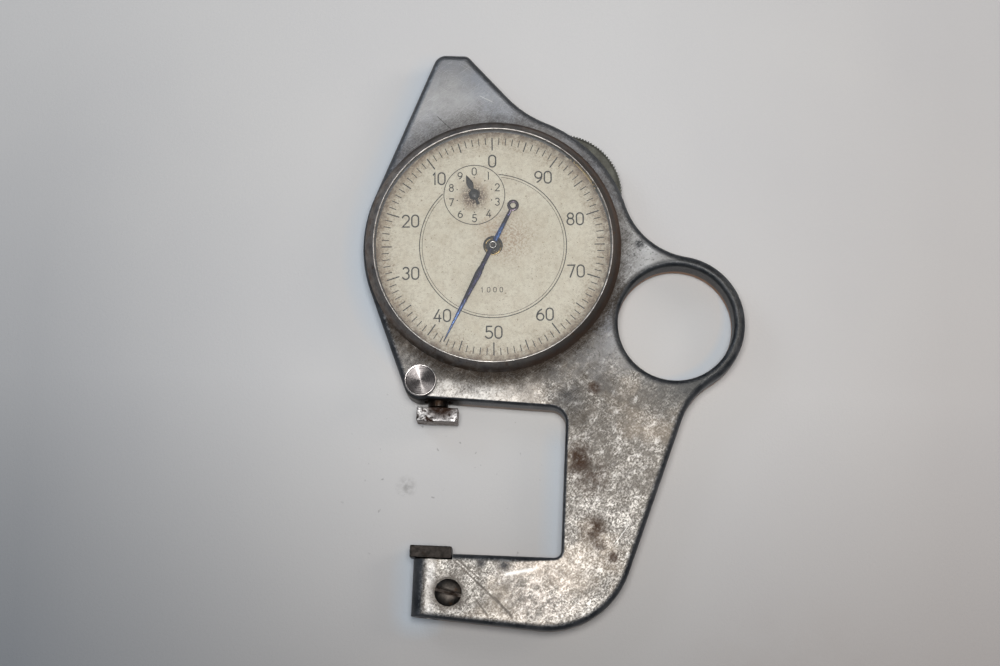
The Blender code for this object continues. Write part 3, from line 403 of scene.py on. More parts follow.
    def finish(self, roughness, height, depth, strength):
        """Links the colour, the roughness unless it is None, and a bump of a depth in millimetres."""
        self.tree.links.new(self.colour, self.shader.inputs["Base Color"])
        if roughness is not None:
            self.tree.links.new(roughness, self.shader.inputs["Roughness"])
        bump = self.node("Bump", None, {"Height": height, "Distance": depth * MM, "Strength": strength})
        self.tree.links.new(bump, self.shader.inputs["Normal"])
        return self.material


def tinted(colour, factor):
    return tuple(min(1, c * factor) for c in colour)


def plate_maps(look):
    """The textures and distances that the stages of the frame's look share."""
    return SimpleNamespace(
        from_dial=look.away_from(*ORIGIN),
        from_ring=look.away_from(*RING),
        broad=look.noise(11, 3, 0.5),
        blotch=look.noise(3.4, 6, 0.65, distortion=0.6),
        speckle=look.noise(1, 5, 0.75, look.grain(52, 0.52, 0.31)),
        cross=look.noise(1, 5, 0.75, look.grain(-40, 0.48, 0.28, 4)),
        coarse=look.noise(1, 8, 0.78, look.grain(50, 2.4, 1.5, 9)),
        grit=look.noise(0.22, 3, 0.6))


def upper_plate(look, maps):
    """Grey plate, with painted shade at its ends, a painted highlight across the horn, and paler beside the
    ring.
    """
    look.base(look.ramp(maps.broad, 0.38, 0.62), (0.272, 0.287, 0.318), (0.345, 0.34, 0.335))
    look.coat((0.21, 0.2, 0.188), look.ramp(maps.blotch, 0.44, 0.7, 0, 0.5))
    # Painted shade: the horn's tip and the case's left end are darkened.
    look.coat((0.1, 0.1, 0.105), look.most(look.by_y(30, 38, 0, 0.22), look.by_x(-18.5, -25, 0, 0.74)))
    # Painted highlight: a paler band across the horn.
    look.coat((0.46, 0.465, 0.475), look.by_y(18, 24), look.by_y(36, 30), 0.38)
    look.coat((0.12, 0.118, 0.115), look.ramp(look.most(maps.speckle, maps.cross), 0.55, 0.7),
              look.by_y(14, 26, 0.55, 0.26))
    look.coat((0.5, 0.5, 0.495), look.blob(28, -1.5, 2.5, 10),
              look.ramp(maps.blotch, 0.3, 0.55, 0.6, 1), 0.8)
    look.coat((0.05, 0.048, 0.046), look.patches(0.62, 5, 0.7, 0.56, 0.62), look.by_y(16, 4), 0.7)
    return look.colour


def arm_plate(look, maps):
    """Bright plate worn through in flecks, with painted highlights along the throat's top, on the jaw and
    beside the jaw's nose, and painted shade high on the arm.
    """
    look.base(look.ramp(maps.speckle, 0.44, 0.56), (0.075, 0.068, 0.06), (0.52, 0.495, 0.46))
    look.coat((0.07, 0.062, 0.054), look.ramp(maps.cross, 0.51, 0.59))
    look.coat((0.88, 0.85, 0.8), look.ramp(maps.cross, 0.44, 0.34), look.ramp(maps.grit, 0.4, 0.55), 0.85)
    # Painted shade: the arm is darkened towards the ring.
    look.coat((0.075, 0.066, 0.056), look.by_x(10, 18), look.by_y(-53, -43), 0.42)
    nested = look.noise(1.7, 3, 0.6, look.moved(shift=(3, 8, 0)))
    look.coat((0.085, 0.076, 0.066), look.ramp(nested, 0.5, 0.66), 0.5)
    off_jaw = look.ramp(look.by_y(-44, -60), 0, 1, 0.75, 0.25)
    look.coat((0.115, 0.102, 0.088), look.ramp(maps.blotch, 0.46, 0.62), off_jaw)
    # Painted highlight: a warm pale patch on the jaw, broken by the mottle.
    look.coat((0.7, 0.61, 0.54), look.blob(12, -65.5, 3, 11),
              look.ramp(maps.coarse, 0.58, 0.42, 0.05, 0.32))
    look.coat((0.14, 0.125, 0.105), look.blob(3.5, -68, 1, 5),
              look.ramp(maps.speckle, 0.4, 0.56, 0.15, 0.7))
    look.coat((0.105, 0.095, 0.084), look.ramp(maps.coarse, 0.5, 0.6, 0, 0.62))
    look.coat((0.74, 0.72, 0.69), look.ramp(maps.coarse, 0.44, 0.36, 0, 0.45))
    # Painted highlight: a pale strip along the throat's top, below the case.
    look.coat((0.7, 0.68, 0.65), look.ramp(maps.from_dial, 27.2, 28.4), look.by_x(12, 4),
              look.by_y(-26, -27), look.by_y(-34, -33), look.ramp(maps.speckle, 0.58, 0.44, 0.12, 0.72))
    # Painted highlight: a pale strip beside the jaw's rounded nose.
    look.coat((0.62, 0.61, 0.6), look.by_x(-10.4, -9.8), look.by_x(-8, -9), look.by_y(-59, -61),
              look.ramp(maps.cross, 0.6, 0.46, 0.2, 0.5))
    look.coat((0.34, 0.27, 0.2), look.ramp(maps.broad, 0.52, 0.64), 0.2)
    return look.colour


def plate_grime(look, maps):
    """Dark plate on the ring with painted shade on its inner lip, mostly on the left, and dirt round the
    bezel, over the arm's root and round the screw.
    """
    look.coat((0.06, 0.06, 0.059), look.ramp(maps.from_ring, 19.5, 13.6), look.by_x(27, 38),
              look.by_x(34, 42, 0.86, 1))
    # Painted shade: the ring's inner lip is darkened, mostly on its left.
    look.coat((0.04, 0.041, 0.043), look.ramp(maps.from_ring, 12.75, 12.2), look.by_x(44, 34), 0.88)
    by_bezel = look.times(look.ramp(maps.from_dial, 26.2, 30.5, 1, 0),
                          look.ramp(maps.blotch, 0.28, 0.52, 0.6, 1), look.by_y(14, -14, 0.55, 1))
    at_root = look.times(look.blob(17, -28, 3, 14), look.patches(4.5, 5, 0.65, 0.4, 0.6), 0.55)
    grime = look.most(by_bezel, at_root)
    patchy = look.ramp(maps.speckle, 0.4, 0.54, 0.45, 1)
    look.coat((0.04, 0.031, 0.023), grime, patchy)
    look.coat((0.034, 0.024, 0.017), look.ramp(maps.from_dial, 27, 25.3),
              look.by_y(6, -16, 0.35, 0.85), look.ramp(maps.coarse, 0.34, 0.56, 0.5, 1))
    look.coat((0.05, 0.042, 0.036), look.ramp(look.away_from(*CLAMP), 4.4, 2.9), 0.8, patchy)
    return grime


def plate_rust(look, maps):
    """Rust spots down the arm, and grey smudges."""
    zone = look.blobs((18.2, -41.4, 1.2, 4), (20.6, -44.6, 0.8, 4.6, 0.6), (21.5, -54.4, 0.6, 3.4),
                      (22.8, -57.4, 0.3, 1.7), (25.4, -59.8, 0.6, 1.3, 0.8), (20.7, -27.4, 0.6, 1.6, 0.9))
    broken = look.noise(2.6, 6, 0.7, look.moved(20, (9, 4, 0)))
    rust = look.times(look.ramp(broken, 0.36, 0.52), zone)
    look.coat((0.05, 0.027, 0.016), rust, 0.94)
    smudge = look.blobs((0.3, -61.9, 0.3, 1.4), (4.7, -62.2, 0.4, 1.8), (15.6, -29.4, 0.8, 4.6, 0.75),
                        (28.7, 1.5, 0.5, 1.3))
    look.coat((0.03, 0.03, 0.032), smudge, look.ramp(maps.speckle, 0.36, 0.5, 0.3, 1))
    return rust


def plate_scratches(look):
    """Fine pale scratches all over, and the few deep ones, dark or light."""
    fine = look.most(look.streaks(38, 7, 0.09, 0.6, 0.7, 3),
                     look.streaks(-31, 6, 0.08, 0.6, 0.71, 7),
                     look.streaks(74, 6, 0.08, 0.61, 0.72, 1),
                     look.streaks(8, 5, 0.08, 0.61, 0.72, 11))
    look.coat((0.62, 0.62, 0.62), fine, look.by_y(-4, 20, 0.14, 0.4))
    deep = look.lines(((-5.7, -60.9), (8.2, -73), 0.3), ((-4.9, -60.9), (1, -65.6), 0.26),
                      ((-0.5, -68.8), (2.2, -72), 0.26), ((2.8, -67.9), (7.2, -72.5), 0.28),
                      ((-12.4, 26.2), (-8.6, 22.8), 0.1), ((17, -30), (13, -36), 0.1),
                      ((3.2, -30), (-2, -33.5), 0.1))
    light = look.lines(((4.6, -64), (11, -62.5), 0.55), ((-4, 30.6), (-1, 29.2), 0.1),
                       ((25.5, -57.5), (28.5, -53), 0.09))
    look.coat((0.055, 0.048, 0.042), look.math("MULTIPLY", deep, 1.5, clamp=True), 0.8)
    look.coat((0.8, 0.79, 0.77), light, 0.6)
    return fine, deep


def plate_walls(look, maps):
    """Painted shade on the walls and edges, painted warm and dark reflections at the walls' foot and over
    the throat, and bright wear with a painted highlight along the edges.
    """
    # Painted shade: every surface turned from the face is darkened, paler towards the horn.
    wall_shade = look.mix(look.ramp(maps.blotch, 0.36, 0.64), (0.04, 0.045, 0.052), (0.105, 0.11, 0.118))
    wall_shade = look.mix(look.by_y(-2, 14, 0, 0.6), wall_shade, (0.155, 0.16, 0.166))
    look.coat(wall_shade, look.tilt(0.997, 0.87), look.by_z(0.9, 1.6))
    upright = look.tilt(0.7, 0.2)
    # Painted shade: the finger hole's walls are near black.
    look.coat((0.03, 0.031, 0.033), upright, look.ramp(maps.from_ring, 12.2, 11.9), 0.8)
    # Painted reflection: the walls' foot is brown all round, for the warm floor seen in it.
    look.coat((0.31, 0.165, 0.09), look.tilt(0.8, 0.3), look.by_z(3, 2),
              look.ramp(maps.blotch, 0.3, 0.5, 0.75, 1))
    throat_top = look.times(upright, look.by_y(-36, -35), look.by_y(-26, -27),
                            look.by_x(-16.5, -15.5), look.by_x(15.8, 15.4))
    # Painted reflection: the throat's top wall is brown low down, for the warm floor seen in it.
    look.coat((0.2, 0.145, 0.11), throat_top, look.by_z(4.6, 2.2))
    # Painted reflection: the throat's top wall is near black above the pad, for the pad seen in it.
    look.coat((0.03, 0.022, 0.016), throat_top, look.by_x(-4.6, -5.8))
    # Painted highlight, with bright wear: a broken pale band where the edges start to round over.
    look.coat((0.55, 0.55, 0.56), look.tilt(0.995, 0.96), look.tilt(0.8, 0.9),
              look.patches(0.7, 4, 0.65, 0.52, 0.62), look.ramp(maps.from_ring, 15.6, 16.4, 0.3, 1), 0.35)


def frame_look():
    """Worn nickel plate: grey with fine scratches above, mottled and brighter on the arm, with painted
    shade, highlights and reflections by place, on the walls and along the edges.
    """
    look = Look("worn_nickel", Metallic=0.92)
    maps = plate_maps(look)
    low_part = look.ramp(look.add(look.y, look.ramp(maps.blotch, 0.3, 0.7, -5, 5)), -13, -27)
    look.base(low_part, upper_plate(look, maps), arm_plate(look, maps))
    grime = plate_grime(look, maps)
    rust = plate_rust(look, maps)
    fine, deep = plate_scratches(look)
    plate_walls(look, maps)
    rough = look.add(look.ramp(maps.blotch, 0.3, 0.7, 0.44, 0.56), look.times(look.most(grime, rust), 0.15))
    relief = look.add(look.times(maps.blotch, 0.5), look.times(maps.grit, 0.22),
                      look.times(maps.speckle, look.ramp(low_part, 0, 1, 0.12, 0.5)))
    relief = look.less(relief, look.times(look.most(fine, deep), 0.4), look.times(rust, 0.4))
    return look.finish(look.less(rough, look.times(fine, 0.1)), relief, 0.03, 0.8)


def steel_look(name, light, dark, rough=(0.28, 0.5), size=1.5, pits=0.4, stain=(0.12, 0.07, 0.045),
               stain_from=0.6, metallic=0.9, spot=None, slot=None, sides=None):
    """Ground steel with pits and stains, which can gather at a spot or in a slot, and a painted reflection
    on the sides.
    """
    look = Look(name, Metallic=metallic)
    cloud = look.noise(size, 5, 0.6, distortion=0.4)
    grit = look.noise(size * 0.22, 4, 0.65)
    look.base(look.ramp(cloud, 0.35, 0.65), dark, light)
    look.coat(tinted(dark, 0.3), look.ramp(grit, 0.55, 0.66), pits)
    stains = look.ramp(look.noise(size * 1.8, 6, 0.7, look.moved(40, (5, 2, 1))),
                       stain_from, stain_from + 0.1)
    if spot:
        stains = look.most(stains, look.times(look.blob(*spot), look.ramp(cloud, 0.3, 0.46)))
    look.coat(stain, stains)
    if slot:
        centre, turn, length, width = slot
        ends = [polar(centre, side * length / 2, turn) for side in (-1, 1)]
        packed = look.math("MULTIPLY", look.line(*ends, width), 2, clamp=True)
        look.coat((0.006, 0.004, 0.003), packed, look.ramp(grit, 0.4, 0.62, 1, 0.6))
    # Painted reflection: surfaces turned aside take the given colour.
    if sides:
        look.coat(sides, look.tilt(0.8, 0.4), look.ramp(cloud, 0.3, 0.6, 1, 0.6))
    look.coat(tinted(light, 1.6), look.streaks(12, 5, 0.06, 0.6, 0.74), 0.3)
    relief = look.less(look.times(cloud, 0.6), look.times(look.ramp(grit, 0.5, 0.7), pits))
    rough_map = look.add(look.ramp(grit, 0.3, 0.7, *rough), look.times(stains, 0.25))
    return look.finish(rough_map, relief, 0.02, 0.7)


def turned_look(name, light, dark, centre, rim, sheen):
    """Lathe-turned steel with a painted highlight along the diameter at the sheen's heading, and rubbed
    brighter on the rim.
    """
    look = Look(name, Metallic=1, Anisotropic=0.9, Anisotropic_Rotation=0.25)
    tangent = look.node("Tangent", None, {}, direction_type="RADIAL", axis="Z")
    look.tree.links.new(tangent, look.shader.inputs["Tangent"])
    pitch = 0.12
    radius = look.away_from(*centre)
    uneven = look.noise(0.9, 4, 0.6)
    ringed = look.rings(radius, 1 / (pitch * 2.2), 3)
    look.base(look.ramp(uneven, 0.35, 0.65), dark, light)
    look.coat(tinted(dark, 0.45), look.ramp(ringed, 0.5, 0.75, 0, 0.35))
    across_x, across_y = polar(ORIGIN, 1, sheen + 90)
    aside = look.less(look.along(sheen + 90), centre[0] * across_x + centre[1] * across_y)
    aside = look.math("DIVIDE", look.math("ABSOLUTE", aside), look.most(radius, 0.05))
    # Painted highlight: a bright band along the diameter at the sheen's heading, for the turned face's
    # bow-tie sheen.
    look.coat((0.27, 0.255, 0.25), look.ramp(aside, 0.24, 0.02), look.ramp(uneven, 0.34, 0.54, 0.45, 0.9),
              look.ramp(radius, 0.8, rim, 1, 0.5))
    look.coat((0.46, 0.43, 0.42), look.ramp(radius, rim - 0.26, rim - 0.2), look.by_z(10.3, 10.42),
              look.patches(0.5, 3, 0.6, 0.3, 0.5, 0.35, 1))
    look.coat((0.07, 0.062, 0.06), look.by_z(10.36, 10.2), look.ramp(radius, rim - 0.16, rim - 0.1))
    relief = look.add(look.times(uneven, 0.3), look.times(ringed, 0.5))
    return look.finish(look.ramp(ringed, 0.3, 0.7, 0.22, 0.34), relief, 0.01, 0.5)


def bezel_look():
    """Browned flank with fine lathe lines and a bright, nicked inner rim."""
    look = Look("browned_bezel", Metallic=0.85)
    radius = look.away_from(*ORIGIN)
    cloud = look.noise(2.4, 5, 0.6)
    grit = look.noise(0.35, 4, 0.6)
    ringed = look.rings(radius, 7, 4)
    look.base(look.ramp(cloud, 0.35, 0.65), (0.15, 0.143, 0.142), (0.3, 0.27, 0.245))
    look.coat((0.38, 0.35, 0.32), look.ramp(ringed, 0.48, 0.7, 0, 0.4))
    tanned = look.times(look.by_x(-2, 17), look.ramp(cloud, 0.3, 0.55, 0.5, 0.8))
    look.coat((0.07, 0.058, 0.05), tanned)
    look.coat((0.11, 0.072, 0.048), look.ramp(radius, 24, 24.8), look.patches(1.6, 6, 0.7, 0.36, 0.6), 0.85)
    look.coat((0.185, 0.125, 0.095), tanned, look.ramp(radius, 24.2, 24.7))
    look.coat((0.13, 0.085, 0.06), look.patches(1.3, 6, 0.7, 0.54, 0.66, 0, 0.75))
    worn = look.times(look.ramp(radius, 23.48, 23.42), look.by_z(10, 10.1),
                      look.patches(1.4, 5, 0.7, 0.38, 0.62, 0.15, 1))
    look.coat((0.58, 0.55, 0.52), worn)
    rough = look.less(look.ramp(grit, 0.3, 0.7, 0.38, 0.55), look.times(worn, 0.12))
    return look.finish(rough, look.add(look.times(ringed, 0.6), look.times(grit, 0.4)), 0.02, 0.7)


def dial_rim(look, cloud):
    """Brown stain, dark spots and dust towards the dial's rim."""
    radius = look.away_from(*ORIGIN)
    look.coat((0.32, 0.225, 0.13), look.ramp(radius, 19.4, 22.8), look.ramp(cloud, 0.32, 0.6, 0.15, 1), 0.68)
    look.coat((0.085, 0.05, 0.027), look.ramp(radius, 21.5, 23), look.patches(1.1, 5, 0.7, 0.34, 0.54), 0.9)
    look.coat((0.15, 0.092, 0.05), look.ramp(radius, 17.5, 22.6), look.patches(0.36, 5, 0.75, 0.5, 0.57),
              look.ramp(cloud, 0.34, 0.6, 0.5, 1), 0.85)


def dial_oil(look, cloud, fine):
    """Oil stains round the two arbors, and a rubbed patch between them."""
    look.coat((0.36, 0.23, 0.13), look.blob(*COUNTER, 0.9, 4.2), look.ramp(cloud, 0.33, 0.58, 0.35, 1), 0.8)
    granular = look.noise(0.34, 5, 0.75, look.moved(shift=(2, 6, 0)))
    look.coat((0.06, 0.03, 0.015), look.blob(COUNTER[0] - 0.1, COUNTER[1] - 0.3, 1.3, 3.3),
              look.ramp(granular, 0.43, 0.51), 0.95)
    freckled = look.ramp(look.noise(0.4, 4, 0.7, look.moved(shift=(5, 1, 0))), 0.48, 0.56)
    look.coat((0.33, 0.215, 0.13), look.blob(2.6, 1.6, 2, 6.6), look.math("ADD", freckled, 0.2, clamp=True),
              0.72)
    look.coat((0.4, 0.27, 0.17), look.blob(-1.5, 4, 0.5, 3.4), look.ramp(fine, 0.35, 0.62), 0.5)


def dial_look():
    """Cream enamel, browned at the rim and stained round the two arbors."""
    look = Look("stained_cream_enamel", Roughness=0.55, Specular_IOR_Level=0.35)
    cloud = look.noise(2.6, 6, 0.62, distortion=0.5)
    fine = look.noise(0.5, 5, 0.65)
    look.base(look.patches(9, 4, 0.5, 0.35, 0.65), (0.63, 0.583, 0.46), (0.68, 0.633, 0.51))
    look.coat((0.52, 0.44, 0.32), look.ramp(cloud, 0.46, 0.72, 0, 0.5))
    look.coat((0.44, 0.37, 0.275), look.patches(0.8, 6, 0.78, 0.46, 0.62, 0, 0.55))
    dial_rim(look, cloud)
    dial_oil(look, cloud, fine)
    big_specks = look.times(look.patches(0.75, 3, 0.6, 0.68, 0.72), 0.9)
    look.coat((0.17, 0.1, 0.05), look.most(look.patches(0.3, 2, 0.5, 0.67, 0.72), big_specks), 0.75)
    # Painted shade: the dial's edges and the wall of its centre hole are near black.
    look.coat((0.02, 0.016, 0.012), look.tilt(0.9, 0.5))
    return look.finish(None, look.add(look.times(fine, 0.35), look.times(cloud, 0.3)), 0.012, 0.5)


def ink_look():
    look = Look("dial_ink", Roughness=0.6)
    worn = look.noise(0.35, 4, 0.65)
    look.base(look.ramp(worn, 0.48, 0.78), (0.009, 0.008, 0.006), (0.06, 0.05, 0.036))
    return look.finish(None, worn, 0.004, 0.4)


def blued_look():
    """Heat-blued steel: bright blue near the hub, purple-brown at the tail, navy along the blade, and a
    painted highlight ring on the collet.
    """
    look = Look("heat_blued", Metallic=1)
    from_hub = look.away_from(*ORIGIN)
    patch = look.noise(0.8, 4, 0.6)
    grit = look.noise(0.2, 3, 0.6)
    look.base(look.ramp(patch, 0.35, 0.65), (0.008, 0.007, 0.015), (0.019, 0.018, 0.05))
    look.coat((0.085, 0.15, 0.34), look.blob(*polar(ORIGIN, 17, 90 + MAIN_ANGLE), 0.5, 5),
              look.ramp(patch, 0.38, 0.6, 0.3, 1))
    look.coat((0.045, 0.11, 0.3), look.blob(1, 2.4, 0.6, 2.6), look.ramp(patch, 0.3, 0.55, 0.4, 1), 0.85)
    look.coat((0.065, 0.048, 0.058), look.blob(3.9, 8.2, 1, 2.4), 0.85)
    look.coat((0.012, 0.012, 0.013), look.ramp(from_hub, 0.95, 0.88))
    # Painted highlight: a pale ring on the collet's crown.
    look.coat((0.4, 0.38, 0.36), look.ramp(from_hub, 0.5, 0.55), look.ramp(from_hub, 0.64, 0.69, 1, 0))
    return look.finish(look.ramp(grit, 0.3, 0.7, 0.2, 0.36), grit, 0.004, 0.4)


def black_look():
    look = Look("blackened_steel", Metallic=0.5)
    grit = look.noise(0.3, 4, 0.6)
    look.base(look.ramp(grit, 0.4, 0.7), (0.008, 0.008, 0.009), (0.05, 0.045, 0.04))
    return look.finish(look.ramp(grit, 0.3, 0.7, 0.32, 0.5), grit, 0.006, 0.5)


def wheel_look():
    """Dull green-grey steel with dirt in the knurl, and crests painted lighter for wear and as their
    highlight.
    """
    look = Look("dull_knurled_steel", Metallic=0.75)
    grit = look.noise(0.3, 4, 0.6)
    radius = look.away_from(*ORIGIN)
    look.base(look.patches(1.8, 5, 0.6, 0.35, 0.65), (0.09, 0.094, 0.08), (0.185, 0.192, 0.166))
    # Painted highlight, with wear: the knurl's crests are lighter.
    look.coat((0.33, 0.335, 0.31), look.ramp(radius, 12.16, 12.28), 0.65)
    look.coat((0.05, 0.042, 0.034), look.ramp(radius, 11.9, 12.05, 1, 0), 0.5)
    return look.finish(look.ramp(grit, 0.3, 0.7, 0.42, 0.62), grit, 0.02, 0.6)


def brass_look():
    look = Look("aged_brass", Metallic=1)
    grit = look.noise(0.3, 4, 0.6)
    look.base(look.patches(2, 5, 0.6, 0.35, 0.65), (0.36, 0.25, 0.11), (0.62, 0.46, 0.22))
    look.coat((0.16, 0.095, 0.04), look.patches(1.1, 6, 0.7, 0.56, 0.68, 0, 0.8))
    relief = look.add(look.times(grit, 0.4), look.times(look.streaks(0, 6, 0.08, 0.5, 0.75), 0.4))
    return look.finish(look.ramp(grit, 0.3, 0.7, 0.28, 0.45), relief, 0.01, 0.6)


def crystal_look():
    """A thin clear disc with faint hairline scratches."""
    look = Look("clear_crystal", Alpha=0.05, Specular_IOR_Level=0.5)
    hair = look.most(look.streaks(30, 8, 0.06, 0.66, 0.75), look.streaks(-50, 9, 0.06, 0.67, 0.76))
    look.base(look.times(hair, 0.4), (0.9, 0.92, 0.92), (1, 1, 1))
    return look.finish(look.ramp(hair, 0, 1, 0.06, 0.25), hair, 0.002, 0.3)


# ---------------------------------------------------------------- frame

THROAT_EDGE, OUTER_EDGE = 0.7, 1.45


def frame_outline():
    """The outline's points, anticlockwise from the horn, and the range of them round the throat."""
    left_heading, horn_heading = 249.5, 135
    horn_point, top_y, case = (-2, 34.3), 39.05, 25.6
    left_touch = polar(ORIGIN, case, HORN_SIDE)
    top_left = lines_meet((0, top_y), 180, left_touch, left_heading)
    top_right = lines_meet((0, top_y), 180, horn_point, horn_heading)
    points = corner(top_right, horn_heading, 180, 1.6, 7.5)
    points += corner(top_left, 180, left_heading, 2.5, 7.5)

    boss, throat_heading, wall_x, jaw_top = 3.1, -1.9, 15.5, -60.3
    nose = 3.45
    lean = degrees(asin((case - nose) / hypot(*LOCK)))
    flank = angle_to(ORIGIN, LOCK) % 360 - 90 + lean
    nose_end = 270 + throat_heading + degrees(acos(boss / nose))
    points += arc(ORIGIN, case, HORN_SIDE, flank)
    points += arc(LOCK, nose, flank, nose_end, 5)
    throat_start = len(points) - 1
    boss_foot = polar(LOCK, boss, 270 + throat_heading)
    top_inner = lines_meet(boss_foot, throat_heading, (wall_x, 0), -90)
    points += corner(top_inner, throat_heading, -90, 3)
    points += corner((wall_x, jaw_top), -90, -180, 1.4, 9)
    throat_end = len(points)

    jaw_foot, jaw_heading, arm, arm_heading = (JAW_END, -72.35), -4.1, (30.03, -57.71), 72.6
    points += [(JAW_END, jaw_top), jaw_foot]
    elbow = lines_meet(jaw_foot, jaw_heading, arm, arm_heading)
    points += corner(elbow, jaw_heading, arm_heading, 16.5, 3)

    ring, shoulder, low_blend, top_blend, horn_blend = 13.5, 27.4, 14, 15, 22
    beside_arm = sideways(arm, arm_heading, -low_blend)
    low_centre = line_meets_circle(beside_arm, arm_heading, RING, ring + low_blend, -1)
    points += arc(low_centre, low_blend, arm_heading + 90, angle_to(low_centre, RING))
    top_centre = circles_meet(ORIGIN, shoulder + top_blend, RING, ring + top_blend, 1)
    points += arc(RING, ring, angle_to(RING, low_centre), angle_to(RING, top_centre))[1:]
    points += arc(top_centre, top_blend, angle_to(top_centre, RING) % 360,
                  angle_to(top_centre, ORIGIN) % 360)[1:]
    beside_horn = sideways(horn_point, horn_heading, -horn_blend)
    horn_centre = line_meets_circle(beside_horn, horn_heading, ORIGIN, shoulder + horn_blend, 1)
    points += arc(ORIGIN, shoulder, angle_to(ORIGIN, top_centre), angle_to(ORIGIN, horn_centre))[1:]
    points += arc(horn_centre, horn_blend, angle_to(horn_centre, ORIGIN) % 360,
                  horn_heading + 90)[1:]
    return points, range(throat_start, throat_end)


def nose_tool(front):
    """Rounds the jaw's end over, at the front or the back."""
    radius, beyond = 3.2, 2
    profile = arc((JAW_END + radius, THICK - radius), radius, 90, 180, 6)
    profile += [(JAW_END - beyond, THICK - radius), (JAW_END - beyond, THICK + beyond),
                (JAW_END + radius, THICK + beyond)]
    if not front:
        profile = [(x, THICK - z) for x, z in reversed(profile)]
    mesh = prism("nose", profile, -10, 10)
    mesh.transform(Matrix.Translation((0, -67 * MM, 0)) @ Matrix.Rotation(pi / 2, 4, "X"))
    return mesh


def ring_tool():
    """The finger hole, with its two rounded lips."""
    edge, hole = 1, 11.3
    wide = hole + edge
    steps = range(0, 91, 15)
    profile = [(0, THICK + 1), (wide, THICK + 1)]
    profile += [(wide - edge * sin(radians(a)), THICK - edge + edge * cos(radians(a))) for a in steps]
    profile += [(wide - edge * cos(radians(a)), edge - edge * sin(radians(a))) for a in steps]
    profile += [(wide, -1), (0, -1)]
    return placed(lathe("ring", profile, 144), *RING)


def pin_tool(radius, low, high, x=0, y=0, sides=48):
    return placed(lathe("pin", [(0, high), (radius, high), (radius, low), (0, low)], sides), x, y)


def bore_tool(radius, low, high):
    return along_y(pin_tool(radius, low, high), SPINDLE_X, SPINDLE_Z)


def screw_centres():
    return [polar(ORIGIN, 20.2, angle) for angle in (35, 155, 275)]


def frame_blank():
    """The outline drawn up to the frame's thickness, its edges rounded less round the throat."""
    outline, throat = frame_outline()
    mesh = prism("frame_casting", outline, 0, THICK)
    throat_points = [Vector(outline[i]) for i in throat]
    shell = bmesh.new()
    shell.from_mesh(mesh)
    weight = shell.edges.layers.float.new("bevel_weight_edge")
    for edge in shell.edges:
        start, end = edge.verts[0].co, edge.verts[1].co
        if abs(start.z - end.z) > 1e-6:
            continue
        in_throat = all(min((spot.co.xy / MM - p).length for p in throat_points) < 0.01
                        for spot in edge.verts)
        edge[weight] = THROAT_EDGE / OUTER_EDGE if in_throat else 1
    shell.to_mesh(mesh)
    shell.free()
    piece = scratch_object("frame_casting", mesh)
    bevel = piece.modifiers.new("rounded", "BEVEL")
    bevel.limit_method = "WEIGHT"
    bevel.width = OUTER_EDGE * MM
    bevel.segments = 7
    bevel.use_clamp_overlap = False
    return settle(piece)


def make_frame(look):
    case = [(0, 9), (24.15, 9), (24.15, 7.3), (22.6, 7.3), (22.6, 1.8), (18.9, 1.8),
            (18.9, 1), (21.9, 1), (21.9, -1), (0, -1)]
    seat_low, seat_high = (-14, -61.5, -1), (-5.2, -59.3, 9)
    tools = [
        nose_tool(True), nose_tool(False), ring_tool(), lathe("case", case, 180),
        pin_tool(12.8, 2.8, 6.2, *THUMB, 144), pin_tool(7.49, 5.9, 7.4, *THUMB, 96),
        bore_tool(2.3, 0, 37.9), bore_tool(2.8, -40, 0), bore_tool(2.2, -80, -59.3),
        block("seat", seat_low, seat_high), pin_tool(1.75, 1, 9, *LOCK),
        pin_tool(1.9, 1, 9, *CLAMP), pin_tool(2.9, 7.4, 9, *CLAMP, 64),
    ]
    tools += [pin_tool(0.75, 0, 2.8, *spot, 24) for spot in screw_centres()]
    show(boolean(frame_blank(), tools), look, "housing", "frame_steel", "frame")


# ---------------------------------------------------------------- case pieces

def make_bezel(look):
    profile = [(23.25, 10.16), (23.29, 10.2), (23.42, 10.2), (23.5, 10.16), (23.6, 10.06),
               (23.9, 9.86), (24.2, 9.58), (24.48, 9.24), (24.72, 8.86), (24.92, 8.5),
               (25.06, 8.3), (25.1, 8.22), (25.06, 8.15), (23.85, 8.15), (23.85, 7.6),
               (23.55, 7.6), (23.55, 9.9), (23.2, 9.9), (23.2, 10.1)]
    piece = turned("bezel_ring", profile, 240)
    show(piece, look, "housing", "browned_steel", "bezel", sharp=50)


def make_cover(cover_look, screw_look):
    """Back cover with a chamfered rim, counterbored screw holes and three slotted screws."""
    profile = [(0, 0.7), (21.6, 0.7), (21.6, 0.15), (21.45, 0), (0, 0)]
    piece = turned("cover_plate", profile, 180)
    tools = [pin_tool(0.75, -1, 2, *spot, 24) for spot in screw_centres()]
    tools += [pin_tool(1.2, -1, 0.45, *spot, 40) for spot in screw_centres()]
    boolean(piece, tools)
    show(piece, cover_look, "housing", "frame_steel", "back_cover")
    for place, spot in enumerate(screw_centres(), 1):
        profile = [(0, 1.5), (0.4, 1.5), (0.45, 1.4), (0.45, 0.3), (0.95, 0.3), (0.95, 0.08),
                   (0.88, 0.02), (0, 0.02)]
        screw = scratch_object(f"cover_screw_{place}", lathe("screw", profile, 40))
        slot = placed(block("slot", (-2, -0.12, -1), (2, 0.12, 0.16)), turn=70 * place)
        boolean(screw, [slot])
        placed(screw.data, *spot)
        show(screw, screw_look, "housing", "browned_steel", f"back_cover_screw_{place}")


